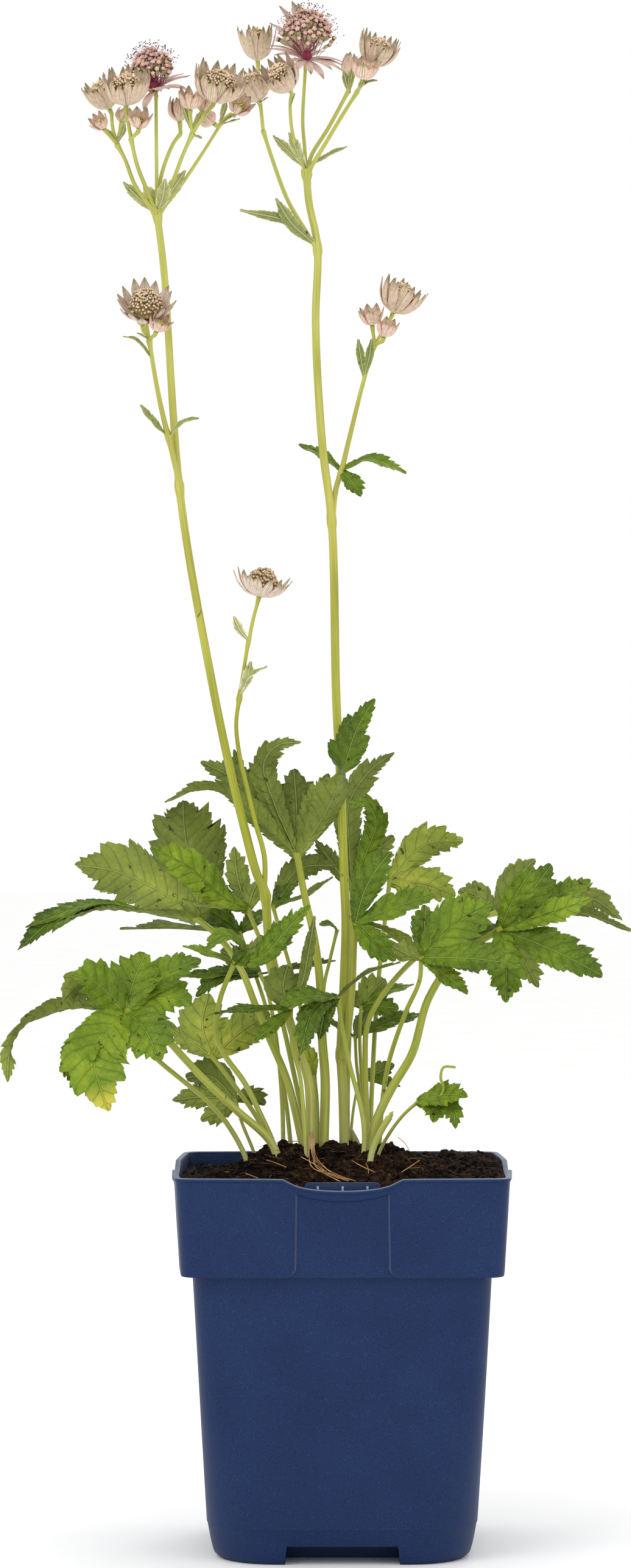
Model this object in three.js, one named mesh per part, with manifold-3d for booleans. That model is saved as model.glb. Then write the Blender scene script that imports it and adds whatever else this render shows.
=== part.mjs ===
// Great masterwort in a square nursery pot.
// Millimetres, +Z up. The origin is the middle of the pot's foot, on the surface it stands on.
import * as THREE from 'three';
import { mergeVertices } from 'three/addons/utils/BufferGeometryUtils.js';
import Module from 'manifold-3d';

const wasm = await Module();
wasm.setup();
const { Manifold, Mesh: SolidMesh } = wasm;

// Driving dimensions of the pot
const pot = {
  rim: 126.5,          // height of the rim at the corners
  collar: 94.3,        // height of the collar's lower edge
  footTop: 11.5,       // fine step where the foot begins
  heel: 4,             // height of the rounded edge under the foot
  halfRim: 54,         // half widths at the corners
  halfCollar: 52.3,
  halfBody: 48.5,
  halfFoot: 44.4,
  halfBase: 42.2,
  bow: 2,              // how far a side bows out at its middle, at the rim
  wall: 2.2,
  floor: 8,            // top of the raised floor
  channel: 6,          // ceiling of the drain channel
  island: 27,          // half width of the flat middle that stands on the ground
  dip: 3.8,            // how far the rim drops at the middle of a side
  recess: 1,           // depth of the middle panel between the cheeks
  slot: [5.4, 9.4],    // the drain slot in each wall of the island, along the wall
  clearance: 0.3,      // between the pot and the soil
};
const panel = { head: 14.7, foot: 15.2, flare: 3.4, lip: 2.4 };
const notch = { foot: 19.4, head: 17.7, height: 6 };
const pocket = {
  half: 12.3, low: 100, high: 125, gap: 3, plate: 1.2, round: 1.6, rib: 1, ribs: [-8, 0, 8] };

// Driving dimensions of the plant
const eye = new THREE.Vector3(-8.7, -1500, 253.5);
const leafCut = { thick: 0.7, fold: 0.24, notch: 0.64, lead: 0.45, swell: 1.12 };
const sepal = { thick: 0.65, breadth: 0.74 };
const sides = { stem: 6, petiole: 5, stalk: 4, pedicel: 3 };
const stretch = { stem: 25, petiole: 20, stalk: 15, pedicel: 9 };   // longest straight stretch
const seat = 0.35;     // gap between a stalk's end and its flower head, and round a stem in the soil

const up = new THREE.Vector3(0, 0, 1);
const away = new THREE.Vector3(0, 1, 0);

// Places on the plant are set out as they show from the front, in the plane of the pot's axis,
// with the true depth y; this gives the true place.
function place([x, y, z]) {
  const spread = (y - eye.y) / -eye.y;
  return new THREE.Vector3(eye.x + (x - eye.x) * spread, y, eye.z + (z - eye.z) * spread);
}

// A closed body from points and triangles, turned right side out
function bodyOf(points, faces) {
  const vertProperties = new Float32Array(points.flatMap((p) => [p.x, p.y, p.z]));
  const make = (list) => new Manifold(new SolidMesh({
    numProp: 3,
    vertProperties,
    triVerts: new Uint32Array(list.flat()),
  }));
  const body = make(faces);
  return body.volume() > 0 ? body : make(faces.map(([a, b, c]) => [a, c, b]));
}

function bodyOfGeometry(geometry) {
  const bare = geometry.clone();
  bare.deleteAttribute('normal');
  bare.deleteAttribute('uv');
  const merged = mergeVertices(bare, 1e-4);
  const spots = merged.getAttribute('position');
  const points = [];
  for (let i = 0; i < spots.count; i += 1) {
    points.push(new THREE.Vector3().fromBufferAttribute(spots, i));
  }
  const faces = [];
  for (let i = 0; i < merged.index.count; i += 3) {
    faces.push([merged.index.getX(i), merged.index.getX(i + 1), merged.index.getX(i + 2)]);
  }
  return bodyOf(points, faces);
}

function geometryOf(body) {
  const mesh = body.getMesh();
  const geometry = new THREE.BufferGeometry();
  const xyz = new Float32Array(mesh.numVert * 3);
  for (let i = 0; i < mesh.numVert; i += 1) {
    for (let k = 0; k < 3; k += 1) {
      xyz[i * 3 + k] = mesh.vertProperties[i * mesh.numProp + k];
    }
  }
  geometry.setAttribute('position', new THREE.BufferAttribute(xyz, 3));
  geometry.setIndex(Array.from(mesh.triVerts));
  geometry.computeVertexNormals();
  return geometry;
}

const fuse = (bodies) => Manifold.union(bodies);

// A skin through rings of equal length, each end closed flat or, with peaked, round a middle point
function loft(rings, peaked = false) {
  const count = rings[0].length;
  const points = rings.flat();
  const faces = [];
  for (let r = 0; r + 1 < rings.length; r += 1) {
    for (let i = 0; i < count; i += 1) {
      const j = (i + 1) % count;
      const low = r * count;
      const high = low + count;
      faces.push([low + i, low + j, high + j], [low + i, high + j, high + i]);
    }
  }
  const last = (rings.length - 1) * count;
  for (let i = 1; i + 1 < count; i += 1) faces.push([0, i + 1, i]);
  if (peaked) {
    const middle = new THREE.Vector3();
    rings[rings.length - 1].forEach((p) => middle.addScaledVector(p, 1 / count));
    points.push(middle);
    for (let i = 0; i < count; i += 1) {
      faces.push([points.length - 1, last + i, last + ((i + 1) % count)]);
    }
  } else {
    for (let i = 1; i + 1 < count; i += 1) faces.push([last, last + i, last + i + 1]);
  }
  return bodyOf(points, faces);
}

// Even steps along a smooth line through hand-set places
function walk(line, longest) {
  const curve = new THREE.CatmullRomCurve3(line, false, 'centripetal');
  return curve.getSpacedPoints(Math.max(1, Math.ceil(curve.getLength() / longest)));
}

// A round stem through points, its radius running from one value to another
function stem(points, from, to, count) {
  const rings = [];
  const side = new THREE.Vector3(1, 0, 0);
  points.forEach((p, i) => {
    const before = points[Math.max(0, i - 1)];
    const after = points[Math.min(points.length - 1, i + 1)];
    const along = after.clone().sub(before).normalize();
    side.addScaledVector(along, -side.dot(along)).normalize();
    const across = new THREE.Vector3().crossVectors(along, side);
    const radius = from + (to - from) * (i / (points.length - 1));
    const ring = [];
    for (let k = 0; k < count; k += 1) {
      const turn = (2 * Math.PI * k) / count;
      ring.push(p.clone()
        .addScaledVector(side, radius * Math.cos(turn))
        .addScaledVector(across, radius * Math.sin(turn)));
    }
    rings.push(ring);
  });
  return loft(rings);
}

// Pot

// One level of the pot: a square with rounded corners whose sides bow out
function potRing(half, corner, bow, z) {
  const ring = [];
  const straight = half - corner;
  for (let quarter = 0; quarter < 4; quarter += 1) {
    const spin = (quarter * Math.PI) / 2;
    const side = [-1, -0.5, 0.5, 1].map((s) => [
      s * straight, -half - bow * Math.cos((s * Math.PI) / 2)]);
    const bend = [Math.PI / 6, Math.PI / 3].map((turn) => [
      straight + corner * Math.sin(turn), -straight - corner * Math.cos(turn)]);
    for (const [x, y] of [...side, ...bend]) {
      ring.push(new THREE.Vector3(
        x * Math.cos(spin) - y * Math.sin(spin), x * Math.sin(spin) + y * Math.cos(spin), z));
    }
  }
  return ring;
}

// A flat outline in X and Z, drawn out along Y from y0 to y1
function slab(shape, y0, y1) {
  const geometry = new THREE.ExtrudeGeometry(shape, {
    depth: y1 - y0, bevelEnabled: false, curveSegments: 2 });
  geometry.rotateX(Math.PI / 2);
  geometry.translate(0, y1, 0);
  return geometry;
}

function block(x0, x1, y0, y1, z0, z1) {
  const geometry = new THREE.BoxGeometry(x1 - x0, y1 - y0, z1 - z0);
  geometry.translate((x0 + x1) / 2, (y0 + y1) / 2, (z0 + z1) / 2);
  return geometry;
}

// The rim's dip: flat, a short S, then a shallow arc
function dipShape() {
  const z = pot.rim;
  const shape = new THREE.Shape();
  shape.moveTo(-21, z + 6);
  shape.lineTo(-21, z + 0.02);
  shape.quadraticCurveTo(-18, z, -16, z - 2);
  shape.quadraticCurveTo(-9, z - pot.dip, 0, z - pot.dip);
  shape.quadraticCurveTo(9, z - pot.dip, 16, z - 2);
  shape.quadraticCurveTo(18, z, 21, z + 0.02);
  shape.lineTo(21, z + 6);
  return shape;
}

// The sunk middle panel of the collar, flaring at its foot, under a rolled lip
function recessShape() {
  const { head, foot, flare, lip } = panel;
  const top = pot.rim - pot.dip - lip;
  const low = pot.collar;
  const shape = new THREE.Shape();
  shape.moveTo(-head, top + 1.6);
  shape.lineTo(-foot, low + flare);
  shape.quadraticCurveTo(-foot, low + 1, -foot - flare, low - 1);
  shape.lineTo(foot + flare, low - 1);
  shape.quadraticCurveTo(foot, low + 1, foot, low + flare);
  shape.lineTo(head, top + 1.6);
  shape.quadraticCurveTo(0, top - 1.6, -head, top + 1.6);
  return shape;
}

// The same cut on all four sides
const quarters = [0, 1, 2, 3].map((q) => (q * Math.PI) / 2);
const onFourSides = (geometry) => quarters.map((turn) => bodyOfGeometry(
  geometry.clone().rotateZ(turn)));

function cavity(gap, top) {
  const w = pot.wall + gap;
  return loft([
    potRing(pot.halfFoot - w - 0.6, 12, 0, pot.floor + gap),
    potRing(pot.halfBody - w, 7, 1.2, pot.collar + 0.6),
    potRing(pot.halfCollar - w, 5, 1.6, pot.collar + 3),
    potRing(pot.halfRim - w + (top - pot.rim) * 0.05, 4, pot.bow, top),
  ]);
}

function islandCavity(gap) {
  const half = pot.island - pot.wall - gap;
  return bodyOfGeometry(block(-half, half, -half, half, pot.wall + gap, pot.floor + 1));
}

// The small pocket for a plant label, inside the front wall
const pocketWall = -(pot.halfRim + pot.bow - pot.wall);
const pocketFace = pocketWall + pocket.gap;

function labelPocket() {
  const { half, low, high, round, plate, rib, ribs } = pocket;
  const shape = new THREE.Shape();
  shape.moveTo(-half, low);
  shape.lineTo(half, low);
  shape.lineTo(half, high - round);
  shape.quadraticCurveTo(half, high, half - round, high);
  shape.lineTo(round - half, high);
  shape.quadraticCurveTo(-half, high, -half, high - round);
  const parts = [bodyOfGeometry(slab(shape, pocketFace, pocketFace + plate))];
  for (const x of ribs) {
    parts.push(bodyOfGeometry(block(
      x - rib / 2, x + rib / 2, pocketWall - 1, pocketFace + 0.2, low + 2, high - 3.4)));
  }
  return parts;
}

function makePot() {
  const outer = loft([
    potRing(pot.halfBase - 1.6, 14, 0, 0),
    potRing(pot.halfBase + 0.5, 14, 0, pot.heel),
    potRing(pot.halfFoot - 0.5, 13, 0.2, pot.footTop),
    potRing(pot.halfFoot, 13, 0.2, pot.footTop + 0.3),
    potRing(pot.halfBody, 8, 1.2, pot.collar),
    potRing(pot.halfCollar, 6, 1.6, pot.collar + 0.01),
    potRing(pot.halfRim, 5, pot.bow, pot.rim),
  ]);
  const inFoot = pot.halfBase - pot.wall - 1.6;
  const channel = [-1, pot.channel].map((z) => potRing(inFoot, 12, 0, z));
  const foot = new THREE.Shape();
  foot.moveTo(-notch.foot, -1);
  foot.lineTo(-notch.head, notch.height);
  foot.lineTo(notch.head, notch.height);
  foot.lineTo(notch.foot, -1);
  const collarFace = pot.halfCollar + 1.6;
  const lean = Math.atan2(pot.halfRim + pot.bow - collarFace, pot.rim - pot.collar);
  const sunk = slab(recessShape(), -6, 0);
  sunk.translate(0, 0, -pot.collar);
  sunk.rotateX(lean);
  sunk.translate(0, pot.recess - collarFace, pot.collar);
  let body = outer.subtract(cavity(0, pot.rim + 4));
  body = body.subtract(loft(channel));
  const dips = [slab(dipShape(), -70, 0), slab(foot, -50, -30), sunk];
  for (const cut of dips.flatMap(onFourSides)) body = body.subtract(cut);
  const half = pot.island;
  body = body.add(bodyOfGeometry(block(-half, half, -half, half, 0, pot.floor)));
  body = body.subtract(islandCavity(0));
  const { slot } = pot;
  const drain = block(slot[0], slot[1], -half - 1, 4 - half, pot.wall + 0.4, pot.channel);
  for (const cut of onFourSides(drain)) body = body.subtract(cut);
  return fuse([body, ...labelPocket()]);
}

// Plant

const deg = Math.PI / 180;

// How broad a leaf lobe is along its length, from 0 at the base to 1 at the tip
const leafProfile = (t) => Math.sin(Math.PI * t ** 1.2) ** 0.85;

// A thin closed blade with a toothed edge, pointed at both ends. Its upper side looks towards face:
// 0 is the viewer, 90 straight up, 180 away from the viewer; two values turn it from base to tip.
function blade(line, width, face, steps) {
  const [faceBase, faceTip] = Array.isArray(face) ? face : [face, face];
  const points = [];
  const half = leafCut.thick / 2;
  for (let i = 0; i <= steps; i += 1) {
    const t = i / steps;
    const centre = line.getPointAt(t);
    const along = line.getTangentAt(t);
    const look = (faceBase + (faceTip - faceBase) * t) * deg;
    const normal = away.clone().multiplyScalar(-Math.cos(look)).addScaledVector(up, Math.sin(look));
    normal.addScaledVector(along, -normal.dot(along)).normalize();
    const across = new THREE.Vector3().crossVectors(along, normal);
    const isTooth = i % 2 === 1 || steps < 4;
    const reach = (width / 2) * leafProfile(t) * (isTooth ? leafCut.swell : leafCut.notch);
    const lead = isTooth ? leafCut.lead : 0;
    const ends = i === 0 || i === steps;
    for (const side of ends ? [0] : [-1, 0, 1]) {
      const spot = centre.clone()
        .addScaledVector(across, side * reach)
        .addScaledVector(along, Math.abs(side) * lead * reach)
        .addScaledVector(normal, Math.abs(side) * leafCut.fold * reach);
      points.push(spot.clone().addScaledVector(normal, half));
      points.push(spot.clone().addScaledVector(normal, -half));
    }
  }
  const at = (row, column) => (row === 0 ? 0 : 2 + ((row - 1) * 3 + column) * 2);
  const tip = points.length - 2;
  const faces = [];
  const sheet = (a, b, c) => faces.push([a, b, c], [c + 1, b + 1, a + 1]);
  for (const k of [0, 1]) {
    sheet(0, at(1, k + 1), at(1, k));
    sheet(at(steps - 1, k), at(steps - 1, k + 1), tip);
    for (let i = 1; i + 1 < steps; i += 1) {
      const [a, b, c, d] = [at(i, k), at(i, k + 1), at(i + 1, k + 1), at(i + 1, k)];
      if (k === 0) {
        sheet(a, b, c);
        sheet(a, c, d);
      } else {
        sheet(a, b, d);
        sheet(b, c, d);
      }
    }
  }
  const edge = [0];
  for (let i = 1; i < steps; i += 1) edge.push(at(i, 0));
  edge.push(tip);
  for (let i = steps - 1; i > 0; i -= 1) edge.push(at(i, 2));
  edge.forEach((a, i) => {
    const b = edge[(i + 1) % edge.length];
    faces.push([a, b, b + 1], [a, b + 1, a + 1]);
  });
  return bodyOf(points, faces);
}

// The longer a blade is, the more teeth it has
const bladeSteps = (length) => [[48, 6], [34, 5], [20, 4], [7, 3]]
  .find(([long]) => length > long)?.[1] ?? 2;

function bladeOf(from, [width, face, ...path], fewest = 0) {
  const line = new THREE.CatmullRomCurve3([from, ...path.map(place)], false, 'centripetal');
  return blade(line, width, face, Math.max(fewest, bladeSteps(line.getLength())));
}

// A small knot where blades or stalks meet
function knot(at, size, tall = 1) {
  const ball = new THREE.IcosahedronGeometry(size, 0);
  ball.scale(1, 1, tall);
  ball.translate(at.x, at.y, at.z);
  return bodyOfGeometry(ball);
}

// A leaf: its petiole from the soil to the junction, and its lobes from there
function makeLeaf({ petiole, girth, lobes, extra = [] }) {
  const line = petiole.map(place);
  const samples = walk(line, stretch.petiole);
  const [before, end] = samples.slice(-2);
  const junction = end.clone().addScaledVector(end.clone().sub(before).normalize(), -girth[1]);
  const count = girth[0] > 1.2 ? sides.petiole : sides.stalk;
  const parts = [stem(samples, girth[0], girth[1], count)];
  for (const lobe of lobes) parts.push(bladeOf(junction, lobe, 3));
  for (const { from, to, girth: thin } of extra) {
    parts.push(stem(walk([place(from), ...to.map(place)], 3), thin[0], thin[1], sides.stalk));
  }
  return { body: fuse(parts), samples, girth: girth[0] };
}

// Leaves. petiole: places from inside the soil up to the junction; girth: its radii at both ends;
// lobes: width, which way the upper side looks, then places from the junction to the tip.
const leaves = {
  leaf_left_high: {
    petiole: [[-10, -4, 118], [-13, -4, 133], [-18, -3, 154], [-24, 0, 168.5], [-28.5, 5, 179],
      [-33.5, 10, 191.5], [-41, 16, 202.5], [-49, 20, 209]],
    girth: [1.6, 1.1],
    lobes: [
      [17, 165, [-61, 27, 218], [-75.5, 33, 224.5], [-89, 36, 226.5]],
      [14, 70, [-65, 15, 210.5], [-83.5, 9, 211.5], [-96.5, 3, 207.5], [-107.5, 0, 198.5]],
      [23, 180, [-48.5, 24, 220.5], [-52, 25, 235], [-53, 16, 248]],
      [8, 200, [-44.5, 26, 224.5], [-39, 31, 240]],
    ],
  },
  leaf_left_back: {
    petiole: [[-15.5, 9, 118], [-17, 10, 133], [-19, 15, 150], [-25, 23, 178], [-31, 32, 196],
      [-34, 36, 204]],
    girth: [0.9, 0.7],
    lobes: [
      [12, 100, [-55, 42, 205.5], [-74, 46, 205]],
      [10, 20, [-41, 40, 208.5], [-47, 44, 212]],
      [8, 60, [-30, 38, 207.5], [-26.5, 42, 211.5]],
    ],
  },
  leaf_left_bright: {
    petiole: [[-10, 5, 118], [-11, 5, 133], [-14.5, 6, 150], [-20, 7, 175], [-26, 7, 198],
      [-31.5, 6, 212]],
    girth: [1, 0.8],
    lobes: [
      [12, 20, [-39, 4, 215], [-51, 0, 225.5], [-63.5, -6, 232]],
      [9, 85, [-45, 1, 212.5], [-57.5, -4, 214]],
      [8, 160, [-34.5, 12, 221.5], [-36, 18, 232.5]],
      [7, 175, [-30, 8, 216.5], [-28, 12, 221]],
    ],
  },
  leaf_centre: {
    petiole: [[-6, -4, 118], [-6, -4, 133], [-5.5, -4, 154], [-6.5, -4, 168.5], [-7.5, -3, 190],
      [-9.5, -2, 204], [-12, 0, 214.5], [-15, 4, 230.5]],
    girth: [2, 1.2],
    lobes: [
      [16, 180, [-15, 6, 245], [-16, 9, 258.5]],
      [11, 190, [-9, 2.5, 244], [-4.5, 0, 257]],
      [15, [150, 20], [-6.5, 2, 242], [0, -3, 256], [5, -5, 271.5], [11, -6, 282]],
      [9, 190, [-22.5, 1, 247], [-26, -3, 260], [-21, -7, 266.5], [-13.5, -9, 267.5]],
      [12, 170, [-26.5, 5, 243], [-36, 8, 255], [-47, 9, 261]],
      [11, 110, [-26.5, 1, 241], [-39, -2, 251], [-49, -5, 251.5], [-59, -9, 247.5]],
      [9, 10, [-27, 12, 247], [-33, 15, 256], [-36, 16, 265]],
    ],
  },
  leaf_centre_back: {
    petiole: [[2, 14, 118], [2, 14, 133], [2, 15, 150], [3, 18, 185], [3.5, 22, 218.5]],
    girth: [0.9, 0.8],
    lobes: [
      [12, 180, [9, 26, 228.5], [17.5, 28, 236]],
      [8, 20, [8, 25, 230], [11.5, 25, 241], [8, 22, 247], [2, 19, 247]],
      [10, 170, [2.5, 26, 233], [2.5, 31, 247], [9, 34, 257.5], [17.5, 36, 264]],
      [6, 140, [-2, 19, 225.5], [-9, 15, 235]],
    ],
  },
  leaf_right_yellow: {
    petiole: [[9, 11, 118], [9.5, 11, 133], [10, 14, 150], [12, 22, 185], [16, 30, 221.5]],
    girth: [0.9, 0.8],
    lobes: [
      [13, 150, [28, 31, 233.5], [40.5, 29, 234.5]],
      [12, 165, [27, 34, 220.5], [38, 37, 216.5]],
      [7, 170, [20, 28, 219], [22, 26, 212]],
    ],
  },
  leaf_right_front: {
    petiole: [[12, -2.5, 118], [12.5, -3, 133], [15, -8, 157.5], [21, -17, 176.5], [26, -25, 188],
      [26.5, -30, 196]],
    girth: [0.9, 0.8],
    lobes: [
      [17, 25, [37.5, -28, 206.5], [50, -25, 213.5]],
      [9, 20, [27.5, -27, 205.5], [28, -23, 213]],
      [12, 35, [43.5, -40, 195], [59.5, -50, 193]],
      [7, 45, [34.5, -35, 189.5], [42, -42, 183.5]],
      [8, 150, [22.5, -32, 196.5], [17, -34, 199.5]],
    ],
  },
  leaf_far_right: {
    petiole: [[9, -9.5, 118], [9.8, -10, 135], [12.5, -11, 143.5], [17, -13, 152.5],
      [23.5, -16, 163.5], [29, -19, 182], [38, -21, 195], [53.5, -22, 205.5]],
    girth: [1.8, 1.2],
    lobes: [
      [13, 35, [62.5, -21, 216.5], [70, -18, 226.5]],
      [9, -20, [57.5, -27, 215.5], [64, -31, 226]],
      [10, 40, [69, -18, 214.5], [83, -14, 221.5]],
      [9, 30, [69, -26, 210], [83.5, -28, 215]],
      [15, 40, [70, -30, 198], [87, -36, 189.5]],
      [12, 20, [55, -34, 192], [54.5, -42, 180.5]],
      [10, 40, [46.5, -17, 203.5], [39, -14, 200]],
      [9, 150, [60, -16, 196], [65.5, -13, 185.5]],
    ],
  },
  leaf_right_back: {
    petiole: [[8.2, -4.5, 118], [8.4, -4.3, 141], [7.8, -3.5, 160.5], [8.5, -3, 173],
      [12.5, -2, 181.5], [22.5, 0, 193.5], [32.5, 4, 201], [42.5, 8, 207.5], [51.5, 12, 210.5]],
    girth: [1.1, 0.9],
    lobes: [
      [10, 165, [57.5, 15, 221], [64.5, 17, 228.5]],
      [9, 175, [45.5, 16, 216], [39, 20, 218]],
      [8, 120, [67, 14, 211], [81, 13, 210.5], [96.5, 12, 204.5]],
      [10, 150, [69, 20, 214.5], [83, 25, 215.5], [93.5, 28, 208]],
    ],
  },
  leaf_low_left: {
    petiole: [[-19.5, -14, 118], [-23, -14.5, 133], [-35.5, -17, 145], [-45, -20, 154],
      [-53, -24, 162.5], [-57.5, -26, 167.5], [-65, -30, 174], [-72.5, -34, 178]],
    girth: [1.6, 1.2],
    lobes: [
      [13, 30, [-79.5, -37, 185], [-87, -41, 189.5], [-91.5, -48, 184]],
      [14, 30, [-69, -30, 187], [-65.5, -27, 197]],
      [12, 45, [-61, -29, 188.5], [-48, -26, 194.5]],
      [15, 40, [-61, -33, 182.5], [-50.5, -35, 181.5]],
      [12, 30, [-65, -43, 170.5], [-59.5, -50, 162]],
      [18, 30, [-79, -44, 171], [-82.5, -54, 159.5], [-80.5, -59, 146]],
      [10, 30, [-84.5, -42, 170], [-91, -52, 156.5]],
    ],
  },
  leaf_far_left: {
    petiole: [[-29, -11, 118], [-32.5, -11, 130], [-38.5, -11, 140.5], [-45, -12, 148],
      [-53, -14, 154.5], [-63, -18, 163], [-73.5, -22, 175.5]],
    girth: [1, 0.8],
    lobes: [
      [11, 125, [-83.5, -24, 179], [-94.5, -29, 178.5], [-105, -36, 174], [-110.5, -43, 165],
        [-111.5, -48, 154]],
      [9, 60, [-80, -20, 180], [-87, -20, 180.5]],
    ],
  },
  leaf_left_inner: {
    petiole: [[-21.5, -2, 118], [-23.5, -2, 132.5], [-28.5, -1, 142.5], [-37, 1, 154.5],
      [-43.5, 2, 163]],
    girth: [1, 0.8],
    lobes: [
      [16, 175, [-46.5, 5, 173], [-44.5, 9, 183.5]],
      [8, 170, [-50.5, 5, 167.5], [-57.5, 8, 172]],
      [13, 170, [-33.5, 7, 171], [-24, 12, 177]],
    ],
  },
  leaf_hooded: {
    petiole: [[-19.5, -8, 118], [-22.5, -8, 132.5], [-27, -8, 143], [-32.5, -9, 154],
      [-39, -10, 163], [-42, -11, 170], [-40.5, -13, 182], [-35.5, -16, 194.5]],
    girth: [1.1, 0.9],
    lobes: [
      [9, [40, 80], [-34, -19, 200], [-39, -23, 202.5], [-45.5, -27, 198]],
      [5, 60, [-45, -18, 197], [-53, -20, 199.5]],
      [9, 150, [-27.5, -21, 197.5], [-19, -26, 202.5]],
      [9, 30, [-27, -24, 195.5], [-18.5, -29, 204.5], [-10.5, -32, 213]],
    ],
  },
  leaf_small_left: {
    petiole: [[-27, 3, 118], [-29, 3, 129.5], [-33.5, 4, 141], [-35.5, 5, 148.5]],
    girth: [0.7, 0.6],
    lobes: [
      [12, 175, [-43.5, 8, 156], [-52, 10, 155.5]],
      [8, 170, [-46, 9, 149], [-56.5, 13, 148]],
      [8, 190, [-41, 8, 144.5], [-47, 11, 141.5]],
      [7, 165, [-30.5, 7, 149.5], [-25.5, 9, 146.5]],
    ],
  },
  leaf_mid_front: {
    petiole: [[-11, -14, 118], [-12, -14, 133], [-13, -14, 147.5], [-14, -14, 156.5],
      [-16.5, -16, 166], [-17, -18, 179]],
    girth: [0.8, 0.7],
    lobes: [
      [13, 185, [-19.5, -17.5, 186], [-18, -18, 193]],
      [8, 75, [-29.5, -21, 178], [-42.5, -22, 177]],
      [6, 50, [-22.5, -24, 173], [-29, -29, 167.5]],
      [4, 170, [-13.5, -20, 186], [-11, -22, 198], [-9, -22, 209.5]],
    ],
  },
  leaf_hanging: {
    petiole: [[6.5, -13.5, 118], [7.3, -13.5, 140], [2.5, -13.5, 160.5], [0, -13.5, 173],
      [-1.5, -14, 183]],
    girth: [0.9, 0.8],
    lobes: [
      [8, 40, [-11.5, -25, 182.5], [-21, -34, 179.5]],
      [8, 20, [-9.5, -27, 178], [-14, -36, 163]],
      [6, 15, [-5.5, -23, 177], [-7.5, -30, 168]],
      [6, 80, [8, -22, 190], [19.5, -33, 194]],
    ],
  },
  leaf_mid_back: {
    petiole: [[-8, 11, 118], [-8.5, 11, 133], [-10, 12, 150], [-14, 11, 180], [-20, 5, 202],
      [-23, 2, 213]],
    girth: [0.8, 0.7],
    lobes: [
      [9, 165, [-14.5, 9, 225], [-2, 14, 226.5]],
      [6, 20, [-20, 4, 216.5], [-17.5, 5, 220]],
      [5, 120, [-11.5, 10, 216.5], [-3, 13, 222.5]],
    ],
  },
  leaf_thin: {
    petiole: [[-5.5, 3.5, 118], [-5.8, 3.5, 140], [-6, 4, 185], [-4, 3.5, 194.5], [-1.5, 2.5, 205]],
    girth: [0.8, 0.6],
    lobes: [
      [4, 60, [-3.5, 1, 206.5], [-7.5, -1, 206.5]],
    ],
  },
  leaf_back_strip: {
    petiole: [[-19.5, 5, 118], [-19.5, 5, 133], [-20, 8, 150], [-22, 13, 170], [-25, 18, 185],
      [-27.5, 20, 190.5]],
    girth: [0.9, 0.7],
    lobes: [
      [8, 75, [-44, 26, 189.5], [-61, 30, 189]],
      [7, 30, [-42, 24, 189], [-48.5, 25, 182.5]],
      [9, 165, [-33.5, 25, 194], [-40.5, 29, 198]],
      [7, 110, [-14.5, 23, 192], [-2, 27, 194.5]],
    ],
  },
  leaf_small_right: {
    petiole: [[8, 0.5, 118], [8, 0.5, 133], [6.5, 3, 157.5], [6, 5, 170], [6.5, 6, 179.5]],
    girth: [0.8, 0.6],
    lobes: [
      [11, 170, [10, 9, 184], [14.5, 12, 188.5]],
      [6, 175, [4.5, 8, 181.5], [1, 9, 182]],
      [5, 60, [16, 10, 184.5], [24, 14, 186.5]],
      [8, 30, [13, 7, 179], [19, 8, 178.5]],
    ],
  },
  leaf_inner_right: {
    petiole: [[8.5, 5, 118], [8.5, 5, 133], [6.5, 6, 149.5], [5, 7, 159.5], [4.5, 8, 169.5]],
    girth: [0.6, 0.6],
    lobes: [
      [8, 60, [16, 13, 174], [27, 17, 177]],
      [6, 175, [7, 12, 174], [9, 15, 178.5]],
      [6, 120, [-1, 10, 172], [-5.5, 12, 175]],
    ],
  },
  leaf_tiny: {
    petiole: [[3, 8.5, 118], [3, 10, 135], [4, 13.5, 145.5], [6, 17, 156]],
    girth: [0.6, 0.5],
    lobes: [
      [7, 160, [11.5, 20, 157], [17.5, 22, 160]],
      [5, 50, [12.5, 19, 154.5], [19.5, 18, 152.5]],
    ],
  },
  leaf_young: {
    petiole: [[11.5, -13.5, 118], [12, -14, 129], [16, -17, 137], [20.5, -22, 143],
      [25.5, -27, 147.5]],
    girth: [0.65, 0.6],
    lobes: [
      [9, 30, [33.5, -34, 149.5], [42, -40, 149.5]],
      [7, 10, [31, -31, 145.5], [30.5, -34, 140.5]],
      [7, 30, [36.5, -36, 145], [38, -41, 138.5]],
    ],
    extra: [{
      from: [33, -33.5, 149], to: [[34, -35, 152], [33, -36, 155.5], [34, -36, 159], [38, -36, 159]],
      girth: [0.5, 0.4],
    }],
  },
};

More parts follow.
